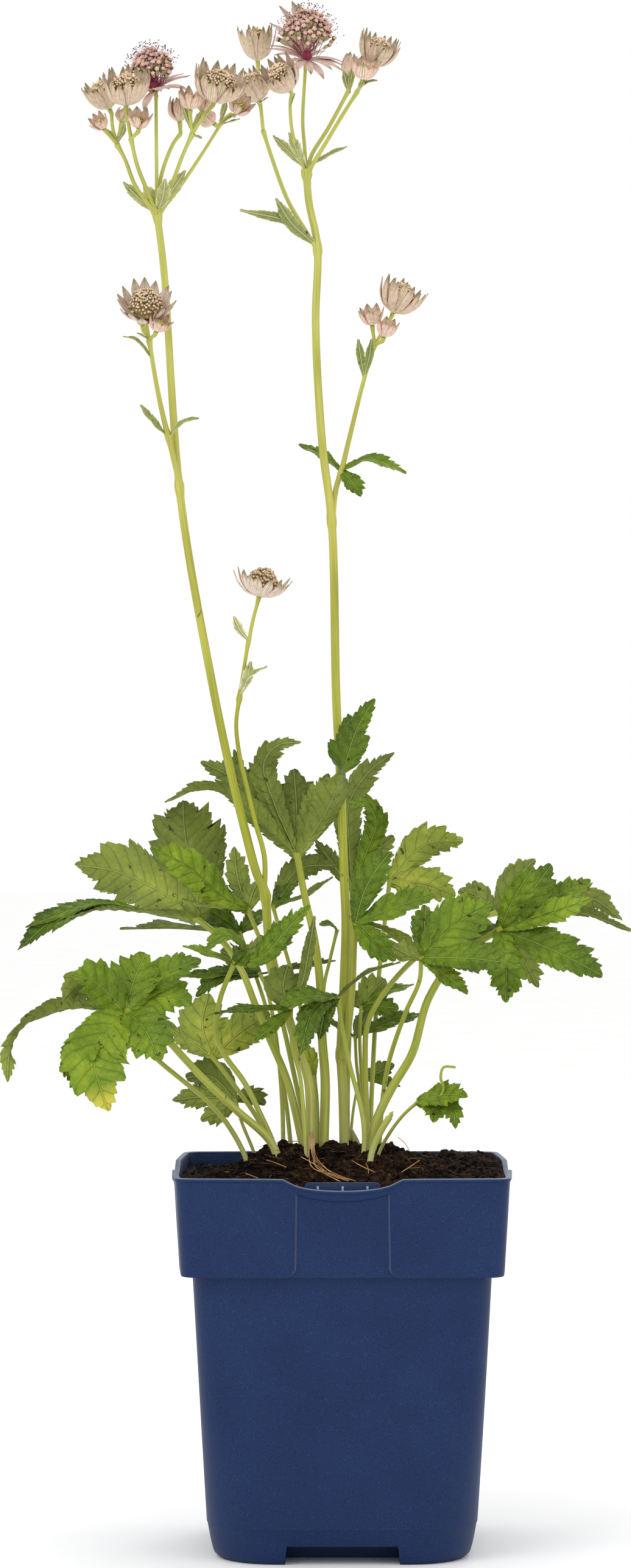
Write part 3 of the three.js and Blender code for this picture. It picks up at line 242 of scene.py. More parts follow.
def grain(tree, size, detail=2.0, stretch=(1, 1, 1), where=None):
    # noise whose cells are about size millimetres across, in the piece's own coordinates
    spot = where or addNode(tree, "ShaderNodeTexCoord").outputs["Object"]
    place = addNode(tree, "ShaderNodeMapping", None, {"Vector": spot, "Scale": stretch})
    cloud = addNode(tree, "ShaderNodeTexNoise", None, {
        "Vector": place.outputs[0], "Scale": 1000 / size, "Detail": detail})
    return cloud.outputs[0]


def makePotPlastic():
    # Injection-moulded polypropylene, dyed through. The mould is spark-eroded, so the surface is
    # matte with a fine grain of paler specks. Painted highlight: the rim's top, the panel edges and the pocket's ribs
    # are paler blue.
    material, tree, shader = newFinish("moulded_polypropylene", {
        "Roughness": 0.46, "IOR": 1.49, "Specular IOR Level": 0.2})
    speck = grain(tree, 0.3, 3)
    cloud = grain(tree, 22, 3)
    deep = ramp(tree, speck, [(0.34, "#0e2246"), (0.53, "#122b55"), (0.72, "#223d68")])
    worn = ramp(tree, cloud, [(0.35, "#e8ebf2"), (0.68, "#ffffff")])
    plain = blendOf(tree, 1.0, deep, worn, "MULTIPLY")
    # the paint attribute carries a painted highlight, blended towards pale blue
    paintedHighlight = addNode(tree, "ShaderNodeAttribute", {"attribute_name": "paint"}).outputs["Fac"]
    tree.links.new(blendOf(tree, paintedHighlight, plain, colourOf("#c4d0e2")), shader.inputs["Base Color"])
    tree.links.new(sumOf(tree, "MULTIPLY_ADD", speck, 0.2, 0.38), shader.inputs["Roughness"])
    relief(tree, shader, speck, 0.04, 0.5)
    return material


def makePeat():
    # Peat-based potting soil: nearly black crumbs, brown where they are drier, and matte
    material, tree, shader = newFinish("peat_potting_soil", {"Roughness": 0.92, "Specular IOR Level": 0.15})
    crumb = grain(tree, 1.6, 5)
    damp = grain(tree, 11, 2)
    dark = ramp(tree, crumb, [(0.3, "#070402"), (0.45, "#1b0f08"), (0.6, "#39240f"), (0.75, "#674a2b")])
    shade = ramp(tree, damp, [(0.35, "#6f6158"), (0.62, "#ffffff")])
    dark = blendOf(tree, 1.0, dark, shade, "MULTIPLY")
    # painted shade: darkest in the left corner
    spot = addNode(tree, "ShaderNodeTexCoord").outputs["Object"]
    across = addNode(tree, "ShaderNodeSeparateXYZ", None, {0: spot}).outputs[0]
    cornerShade = addNode(tree, "ShaderNodeMapRange", None, {0: across, 1: -0.042, 2: -0.022, 3: 0.6, 4: 0.0}).outputs[0]
    tree.links.new(blendOf(tree, cornerShade, dark, colourOf("#050304")), shader.inputs["Base Color"])
    relief(tree, shader, crumb, 0.9, 0.8)
    return material


def makeFibreFinish(name, stops):
    # Fibres in the peat, dry and matte: rust brown bark, and paler roots
    material, tree, shader = newFinish(name, {"Roughness": 0.75, "Specular IOR Level": 0.3})
    tree.links.new(ramp(tree, grain(tree, 4, 2), stops), shader.inputs["Base Color"])
    relief(tree, shader, grain(tree, 0.4, 2), 0.1)
    return material


def leafVeins(tree, ribWide):
    # from the blade's own map: x runs across the midrib and y along it, both in centimetres
    spot = addNode(tree, "ShaderNodeUVMap", {"uv_map": "shape"}).outputs[0]
    parts = addNode(tree, "ShaderNodeSeparateXYZ", None, {0: spot}).outputs
    away = sumOf(tree, "ABSOLUTE", parts[0])
    rib = addNode(tree, "ShaderNodeMapRange", None, {
        0: away, 1: ribWide * 0.35, 2: ribWide, 3: 1.0, 4: 0.0}).outputs[0]
    # side veins leave the midrib every 4.6 mm and run forward to the teeth
    slant = sumOf(tree, "MULTIPLY_ADD", away, -0.85, parts[1])
    wave = sumOf(tree, "PINGPONG", sumOf(tree, "MULTIPLY", slant, 1 / 0.46), 0.5)
    side = addNode(tree, "ShaderNodeMapRange", None, {0: wave, 1: 0.01, 2: 0.06, 3: 1.0, 4: 0.0}).outputs[0]
    # the fine net between them has meshes of about 1.2 mm
    net = addNode(tree, "ShaderNodeTexVoronoi", {"feature": "DISTANCE_TO_EDGE"}, {
        "Vector": spot, "Scale": 8.0}).outputs[0]
    mesh = addNode(tree, "ShaderNodeMapRange", None, {0: net, 1: 0.0, 2: 0.1, 3: 1.0, 4: 0.0}).outputs[0]
    return rib, side, mesh, wave


def makeLeafFinish(name, stops, vein, rough, deep, netShare, ribWide, veinShare):
    # A living leaf. The upper side is waxy and its veins are sunk; the under side is greyer and matte
    # and its veins stand out pale. Small brown spots, as on any leaf that has stood outdoors.
    material, tree, shader = newFinish(name, {"Roughness": rough, "IOR": 1.42, "Specular IOR Level": 0.26})
    rib, side, mesh, wave = leafVeins(tree, ribWide)
    tone = addNode(tree, "ShaderNodeAttribute", {"attribute_name": "paint"})
    tone = addNode(tree, "ShaderNodeSeparateXYZ", None, {0: tone.outputs["Vector"]}).outputs
    patch = grain(tree, 16, 2)
    mottle = grain(tree, 1.4, 4)
    shade = sumOf(tree, "MULTIPLY_ADD", patch, 1.0, sumOf(tree, "MULTIPLY_ADD", mottle, 0.4, -0.76))
    # painted shade: a little darker over each side vein and lighter between them, as light falls on the pleats
    shade = sumOf(tree, "MULTIPLY_ADD", wave, 0.12, shade)
    green = ramp(tree, sumOf(tree, "ADD", tone[0], shade), stops)
    ribs = sumOf(tree, "MAXIMUM", rib, sumOf(tree, "MULTIPLY", side, 0.6))
    veins = sumOf(tree, "MAXIMUM", ribs, sumOf(tree, "MULTIPLY", mesh, netShare))
    green = blendOf(tree, sumOf(tree, "MULTIPLY", veins, veinShare), green, colourOf(vein))
    fade = addNode(tree, "ShaderNodeMapRange", None, {0: tone[1], 1: 0.35, 2: 0.95, 3: 0.0, 4: 1.0}).outputs[0]
    green = blendOf(tree, fade, green, colourOf("#c2bd45"))
    speck = addNode(tree, "ShaderNodeMapRange", None, {
        0: grain(tree, 3.2, 5), 1: 0.665, 2: 0.7, 3: 0.0, 4: 0.85}).outputs[0]
    green = blendOf(tree, speck, green, colourOf("#3a2618"))
    tree.links.new(green, shader.inputs["Base Color"])
    # the blade swells between its side veins; the net is only faintly sunk
    height = sumOf(tree, "MULTIPLY_ADD", wave, 0.9, sumOf(tree, "MULTIPLY", mottle, 0.4))
    height = sumOf(tree, "MULTIPLY_ADD", mesh, 0.12 * deep, height)
    relief(tree, shader, sumOf(tree, "MULTIPLY_ADD", ribs, deep, height), 0.5, 1.0)
    return material


def makeStalkFinish(name, stops):
    # Living stalk: ribbed, smooth, pale and whitish in the crown, with faint dark flecks.
    # stops: colours from the soil up to the flowers.
    material, tree, shader = newFinish(name, {"Roughness": 0.36, "IOR": 1.42, "Specular IOR Level": 0.42})
    spot = addNode(tree, "ShaderNodeTexCoord").outputs["Object"]
    height = addNode(tree, "ShaderNodeSeparateXYZ", None, {0: spot}).outputs[2]
    rise = addNode(tree, "ShaderNodeMapRange", None, {0: height, 1: 0.125, 2: 0.49}).outputs[0]
    green = ramp(tree, rise, stops)
    # place on the round of the section, and a little of the height, for streaks that run along it
    round = addNode(tree, "ShaderNodeAttribute", {"attribute_name": "round"}).outputs["Vector"]
    along = addNode(tree, "ShaderNodeCombineXYZ", None, {2: sumOf(tree, "MULTIPLY", height, 14.0)}).outputs[0]
    along = addNode(tree, "ShaderNodeVectorMath", {"operation": "ADD"}, {0: round, 1: along}).outputs[0]
    streak = addNode(tree, "ShaderNodeTexNoise", None, {"Vector": along, "Scale": 3.2, "Detail": 3.0}).outputs[0]
    green = blendOf(tree, 1.0, green, ramp(tree, streak, [(0.36, "#e0e1c8"), (0.58, "#ffffff")]), "MULTIPLY")
    blush = ramp(tree, grain(tree, 26, 2), [(0.35, "#e6e7d0"), (0.65, "#ffffff")])
    green = blendOf(tree, 1.0, green, blush, "MULTIPLY")
    fleck = addNode(tree, "ShaderNodeMapRange", None, {
        0: grain(tree, 2.2, 4, (1, 1, 0.5)), 1: 0.7, 2: 0.73, 3: 0.0, 4: 0.7}).outputs[0]
    green = blendOf(tree, fleck, green, colourOf("#4d3a24"))
    tree.links.new(green, shader.inputs["Base Color"])
    relief(tree, shader, streak, 0.06, 0.5)
    return material


def makeBractFinish():
    # The papery bracts round a flower head: whitish pink, translucent, with green veins that end
    # in a pointed green to brown tip. x of the map runs across a bract and y along it, 0 to 1.
    material, tree, shader = newFinish("papery_bract", {"Roughness": 0.6, "IOR": 1.4, "Specular IOR Level": 0.3})
    spot = addNode(tree, "ShaderNodeUVMap", {"uv_map": "shape"}).outputs[0]
    parts = addNode(tree, "ShaderNodeSeparateXYZ", None, {0: spot}).outputs
    paint = addNode(tree, "ShaderNodeAttribute", {"attribute_name": "paint"}).outputs["Color"]
    away = sumOf(tree, "ABSOLUTE", parts[0])
    wave = sumOf(tree, "PINGPONG", sumOf(tree, "MULTIPLY", away, 2.8), 0.5)
    lines = addNode(tree, "ShaderNodeMapRange", None, {0: wave, 1: 0.1, 2: 0.33, 3: 1.0, 4: 0.0}).outputs[0]
    reach = addNode(tree, "ShaderNodeMapRange", None, {0: parts[1], 1: 0.15, 2: 0.75, 3: 0.3, 4: 1.0}).outputs[0]
    inner = addNode(tree, "ShaderNodeMapRange", None, {0: away, 1: 0.3, 2: 0.85, 3: 1.0, 4: 0.15}).outputs[0]
    green = sumOf(tree, "MULTIPLY", sumOf(tree, "MULTIPLY", lines, reach), inner)
    base = addNode(tree, "ShaderNodeMapRange", None, {0: parts[1], 1: 0.0, 2: 0.45, 3: 0.8, 4: 0.0}).outputs[0]
    colour = blendOf(tree, base, paint, colourOf("#e2dcb4"))
    blush = addNode(tree, "ShaderNodeMapRange", None, {0: away, 1: 0.45, 2: 1.0, 3: 0.0, 4: 0.6}).outputs[0]
    colour = blendOf(tree, blush, colour, colourOf("#cc9590"))
    colour = blendOf(tree, sumOf(tree, "MULTIPLY", green, 0.66), colour, colourOf("#8a9440"))
    middle = addNode(tree, "ShaderNodeMapRange", None, {0: away, 1: 0.05, 2: 0.4, 3: 0.55, 4: 0.0}).outputs[0]
    far = addNode(tree, "ShaderNodeMapRange", None, {0: parts[1], 1: 0.45, 2: 0.85, 3: 0.0, 4: 1.0}).outputs[0]
    colour = blendOf(tree, sumOf(tree, "MULTIPLY", middle, far), colour, colourOf("#94a04c"))
    tip = addNode(tree, "ShaderNodeMapRange", None, {0: parts[1], 1: 0.8, 2: 0.98, 3: 0.0, 4: 0.75}).outputs[0]
    colour = blendOf(tree, tip, colour, colourOf("#7d7736"))
    soft = ramp(tree, grain(tree, 1.2, 3), [(0.3, "#ece4d8"), (0.55, "#ffffff")])
    tree.links.new(blendOf(tree, 1.0, colour, soft, "MULTIPLY"), shader.inputs["Base Color"])
    relief(tree, shader, lines, 0.12, 0.8)
    return material


def makeFloretFinish():
    # The tiny flowers: waxy petals, ribbed seed cases and hair-thin stalks, each with its own paint
    material, tree, shader = newFinish("waxy_floret", {"Roughness": 0.55, "IOR": 1.42, "Specular IOR Level": 0.35})
    paint = addNode(tree, "ShaderNodeAttribute", {"attribute_name": "paint"}).outputs["Color"]
    soft = ramp(tree, grain(tree, 1.5, 3), [(0.32, "#d0c2b8"), (0.48, "#ffffff")])
    tree.links.new(blendOf(tree, 1.0, paint, soft, "MULTIPLY"), shader.inputs["Base Color"])
    relief(tree, shader, grain(tree, 0.5, 2), 0.12, 0.7)
    return material


potPlastic = makePotPlastic()
peat = makePeat()
barkFibre = makeFibreFinish("dry_bark_fibre", [(0.3, "#2c190d"), (0.5, "#54351d"), (0.7, "#8d673f")])
rootFibre = makeFibreFinish("dry_root_fibre", [(0.3, "#8a5f38"), (0.5, "#b48a58"), (0.7, "#d0ac7c")])
leafUpper = makeLeafFinish("waxy_leaf_upper_side", [
    (0.0, "#31470a"), (0.25, "#4a6309"), (0.5, "#627d10"), (0.75, "#819a20"), (1.0, "#b2ba3c")],
    "#a9be62", 0.38, -0.9, 0.35, 0.035, 0.4)
leafUnder = makeLeafFinish("matte_leaf_under_side", [
    (0.0, "#5a6728"), (0.3, "#727f34"), (0.6, "#88963c"), (0.85, "#a3b043"), (1.0, "#bac04b")],
    "#a9b46e", 0.58, 1.0, 0.35, 0.05, 0.34)
stemLeafUpper = makeLeafFinish("pale_bract_upper_side", [
    (0.0, "#66752f"), (0.3, "#7f8b42"), (0.6, "#a0a45c"), (0.85, "#bfc085"), (1.0, "#e0dfbf")],
    "#cdcf9e", 0.5, -0.8, 0.4, 0.04, 0.5)
stemLeafUnder = makeLeafFinish("pale_bract_under_side", [
    (0.0, "#6f7b3a"), (0.3, "#88914c"), (0.6, "#a9ab68"), (0.85, "#c6c690"), (1.0, "#e4e2c6")],
    "#d2d3a6", 0.6, 0.9, 0.4, 0.05, 0.5)
stalkGreen = makeStalkFinish("ribbed_flower_stem", [
    (0.0, "#d6d7ac"), (0.04, "#c0c16c"), (0.12, "#b2b34e"), (0.32, "#a8ac30"), (0.6, "#c0bb5a"), (0.9, "#cacb70")])
petioleGreen = makeStalkFinish("grooved_leaf_stalk", [
    (0.0, "#dcdcb0"), (0.03, "#bfc267"), (0.1, "#adb446"), (0.3, "#abb246"), (0.6, "#b6ba50")])
bractSkin = makeBractFinish()
floretSkin = makeFloretFinish()
print("finishes made")


# Stalks follow their paths: a ribbed round section, swept along each line

def makeStalkTree():
    tree, given = newTree("ribbed_stalk", {
        "Ribs": "Int", "Rib depth": "Float", "Finish": "Material"})
    ring = addNode(tree, "GeometryNodeCurvePrimitiveCircle", None, {
        "Resolution": sumOf(tree, "MULTIPLY", given["Ribs"], 3.0), "Radius": 1.0})
    spot = addNode(tree, "GeometryNodeInputPosition").outputs[0]
    parts = addNode(tree, "ShaderNodeSeparateXYZ", None, {0: spot}).outputs
    turn = sumOf(tree, "ARCTAN2", parts[1], parts[0])
    wave = sumOf(tree, "COSINE", sumOf(tree, "MULTIPLY", turn, given["Ribs"]))
    swell = sumOf(tree, "MULTIPLY_ADD", wave, given["Rib depth"], 1.0)
    ribbed = addNode(tree, "ShaderNodeVectorMath", {"operation": "SCALE"}, {0: spot, 3: swell})
    marked = addNode(tree, "GeometryNodeStoreNamedAttribute", {"data_type": "FLOAT_VECTOR", "domain": "POINT"}, {
        0: ring.outputs[0], "Name": "round", "Value": spot})
    section = addNode(tree, "GeometryNodeSetPosition", None, {0: marked.outputs[0], 2: ribbed.outputs[0]})
    sweep = addNode(tree, "GeometryNodeCurveToMesh", None, {
        0: given["Geometry"], 1: section.outputs[0], "Fill Caps": True,
        "Scale": addNode(tree, "GeometryNodeInputRadius").outputs[0]})
    smooth = addNode(tree, "GeometryNodeSetShadeSmooth", None, {0: sweep.outputs[0]})
    endTree(tree, smooth.outputs[0], given)
    return tree


stalkTree = makeStalkTree()


def stalkMesh(name, lines, ribs=7, depth=0.02, finish=None):
    # lines: (points, radii) in millimetres
    path = bpy.data.curves.new(name, "CURVE")
    path.dimensions = "3D"
    for points, radii in lines:
        spline = path.splines.new("POLY")
        spline.points.add(len(points) - 1)
        for spot, point, radius in zip(spline.points, points, radii):
            spot.co = (*(point * mm), 1)
            spot.radius = radius * mm
    return grown(holderOf(name, path), stalkTree, {
        "Ribs": ribs, "Rib depth": depth, "Finish": finish or stalkGreen})


def tapered(line, girth, swells=()):
    # radii along a line, thicker at each swell (place, size)
    radii = []
    for i, point in enumerate(line):
        radius = girth[0] + (girth[1] - girth[0]) * i / (len(line) - 1)
        for at, size in swells:
            radius += size * exp(-((point - at).length / 1.8) ** 2)
        radii.append(radius)
    return radii


# Blades: leaf lobes and stem bracts, toothed, folded along the midrib

bladeShape = {
    "tooth": 2.2,        # length of margin to a tooth
    "depth": 0.85,       # depth of a tooth on a broad lobe
    "lead": 1.1,         # how far a tooth points forward
    "halves": 6,         # columns from the midrib to the margin
    "thick": 0.34,
    "fold": 0.24,
    "wave": 0.05,        # how much a blade undulates, as a share of its width
    "veins": 4.6,        # from one side vein to the next, where the blade is drawn in
    "quilt": 0.2,       # how far the blade bulges between its veins
    "pleat": 0.3,        # height of the folds that run along the blade
    # coarse points: where along the blade, how far the margin is cut back past it, its length forward
    "points": ((0.3, 0.05, 0.4), (0.49, 0.13, 0.9), (0.66, 0.26, 1.5), (0.81, 0.34, 1.8), (1.0, 0.0, 0.0)),
}


def leafProfile(t):
    # a wedge that is broadest past the middle, with a pointed end
    if t < 0.64:
        return 0.26 + 0.74 * sin(pi / 2 * t / 0.64) ** 1.15
    return max(0.0, 1 - ((t - 0.64) / 0.36) ** 1.55) ** 0.9


def coarseLobing(t, size):
    # how much of the width is left at t, and how far the margin stands forward there
    before = cut = 0
    for at, deep, lead in bladeShape["points"]:
        if t <= at:
            rise = (t - before) / (at - before)
            return 1 - size * cut * (1 - rise) ** 1.2, size * lead * rise ** 3
        before, cut = at, deep
    return 1, 0


def addBlade(skin, start, spec, rng, tone, upper=0, under=1):
    # spec: width, which way the upper side looks, then places from the start to the tip
    width, face, *path = spec
    faceBase, faceTip = face if isinstance(face, list) else (face, face)
    bare = smoothLine([start, *map(place, path)], count=24)
    length = lineLength(bare)
    small = min(1, width / 9)
    tooth = bladeShape["tooth"] * (0.55 + 0.45 * small)
    rows = 3 * max(3, round(length / tooth))
    line = smoothLine([start, *map(place, path)], count=rows)
    halves = bladeShape["halves"] if width > 5 else 3
    thick = bladeShape["thick"] / 2
    drift = rng.uniform(0, 1)
    skew = rng.uniform(-0.03, 0.03)              # one side's points stand a little further on
    bites = [(rng.uniform(0.25, 1.3), rng.uniform(0.25, 1.3)) for k in range(rows // 3 + 1)]
    first = len(skin["points"])
    for i, centre in enumerate(line):
        t = i / rows
        along = (line[min(rows, i + 1)] - line[max(0, i - 1)]).normalized()
        look = radians(faceBase + (faceTip - faceBase) * t)
        normal = Vector((0, -cos(look), sin(look)))
        normal = (normal - along * normal.dot(along)).normalized()
        across = along.cross(normal)
        for j in range(-halves, halves + 1):
            u = j / halves
            right = u > 0
            spread = min(1, max(0, t + (skew if right else -skew)))
            left, point = coarseLobing(spread, small)
            smooth = width / 2 * leafProfile(t) * left
            bite = bites[i // 3][right] * small * min(1, smooth / 2.5)
            reach = smooth - bladeShape["depth"] * bite * ((1, 0.5, 0)[i % 3] - 0.3)
            reach = max(reach, 0.2 if i == rows else 0.5 if i else 0.7)
            lead = bladeShape["lead"] * bite * (0, 0.2, 1)[i % 3] + point * width / 16
            bend = bladeShape["fold"] * reach * abs(u) ** 1.35
            bend += bladeShape["wave"] * width * sin(2 * pi * (t * 2.2 + drift + (0.3 if right else 0))) * u * u
            vein = (t * length - 0.85 * abs(u) * reach) / bladeShape["veins"]
            bend += bladeShape["quilt"] * small * (0.5 - cos(2 * pi * vein)) * sin(pi * abs(u) ** 0.6)
            bend += bladeShape["pleat"] * small * sin(pi * t) * sin(13 * abs(u) + 6 * drift) * min(1, reach / 4)
            spot = centre + across * (u * reach) + normal * bend + along * (lead * abs(u) ** 6)
            edge = thick * (1 - 0.55 * abs(u) ** 4)
            skin["points"] += [spot + normal * edge, spot - normal * edge]
            skin["uvs"] += [(u * reach * 0.1, t * length * 0.1)] * 2
            skin["tones"] += [tone(t, u)] * 2
    wide = 2 * halves + 1
    spotAt = lambda row, column: first + (row * wide + column) * 2
    for i in range(rows):
        for j in range(wide - 1):
            a, b, c, d = spotAt(i, j), spotAt(i, j + 1), spotAt(i + 1, j + 1), spotAt(i + 1, j)
            skin["faces"] += [(a, b, c, d), (d + 1, c + 1, b + 1, a + 1)]
            skin["skins"] += [upper, under]
    for i in range(rows):
        a, d = spotAt(i, 0), spotAt(i + 1, 0)
        skin["faces"].append((a, d, d + 1, a + 1))
        b, c = spotAt(i, wide - 1), spotAt(i + 1, wide - 1)
        skin["faces"].append((c, b, b + 1, c + 1))
        skin["skins"] += [under, under]
    for j in range(wide - 1):
        a, b = spotAt(0, j), spotAt(0, j + 1)
        skin["faces"].append((b, a, a + 1, b + 1))
        d, c = spotAt(rows, j), spotAt(rows, j + 1)
        skin["faces"].append((d, c, c + 1, d + 1))
        skin["skins"] += [under, under]


# Leaves. petiole: places from inside the soil up to the junction; girth: its radii at both ends;
# lobes: width, which way the upper side looks, then places from the junction to the tip.
# Upper side: 0 faces the viewer, 90 straight up, 180 away from the viewer.

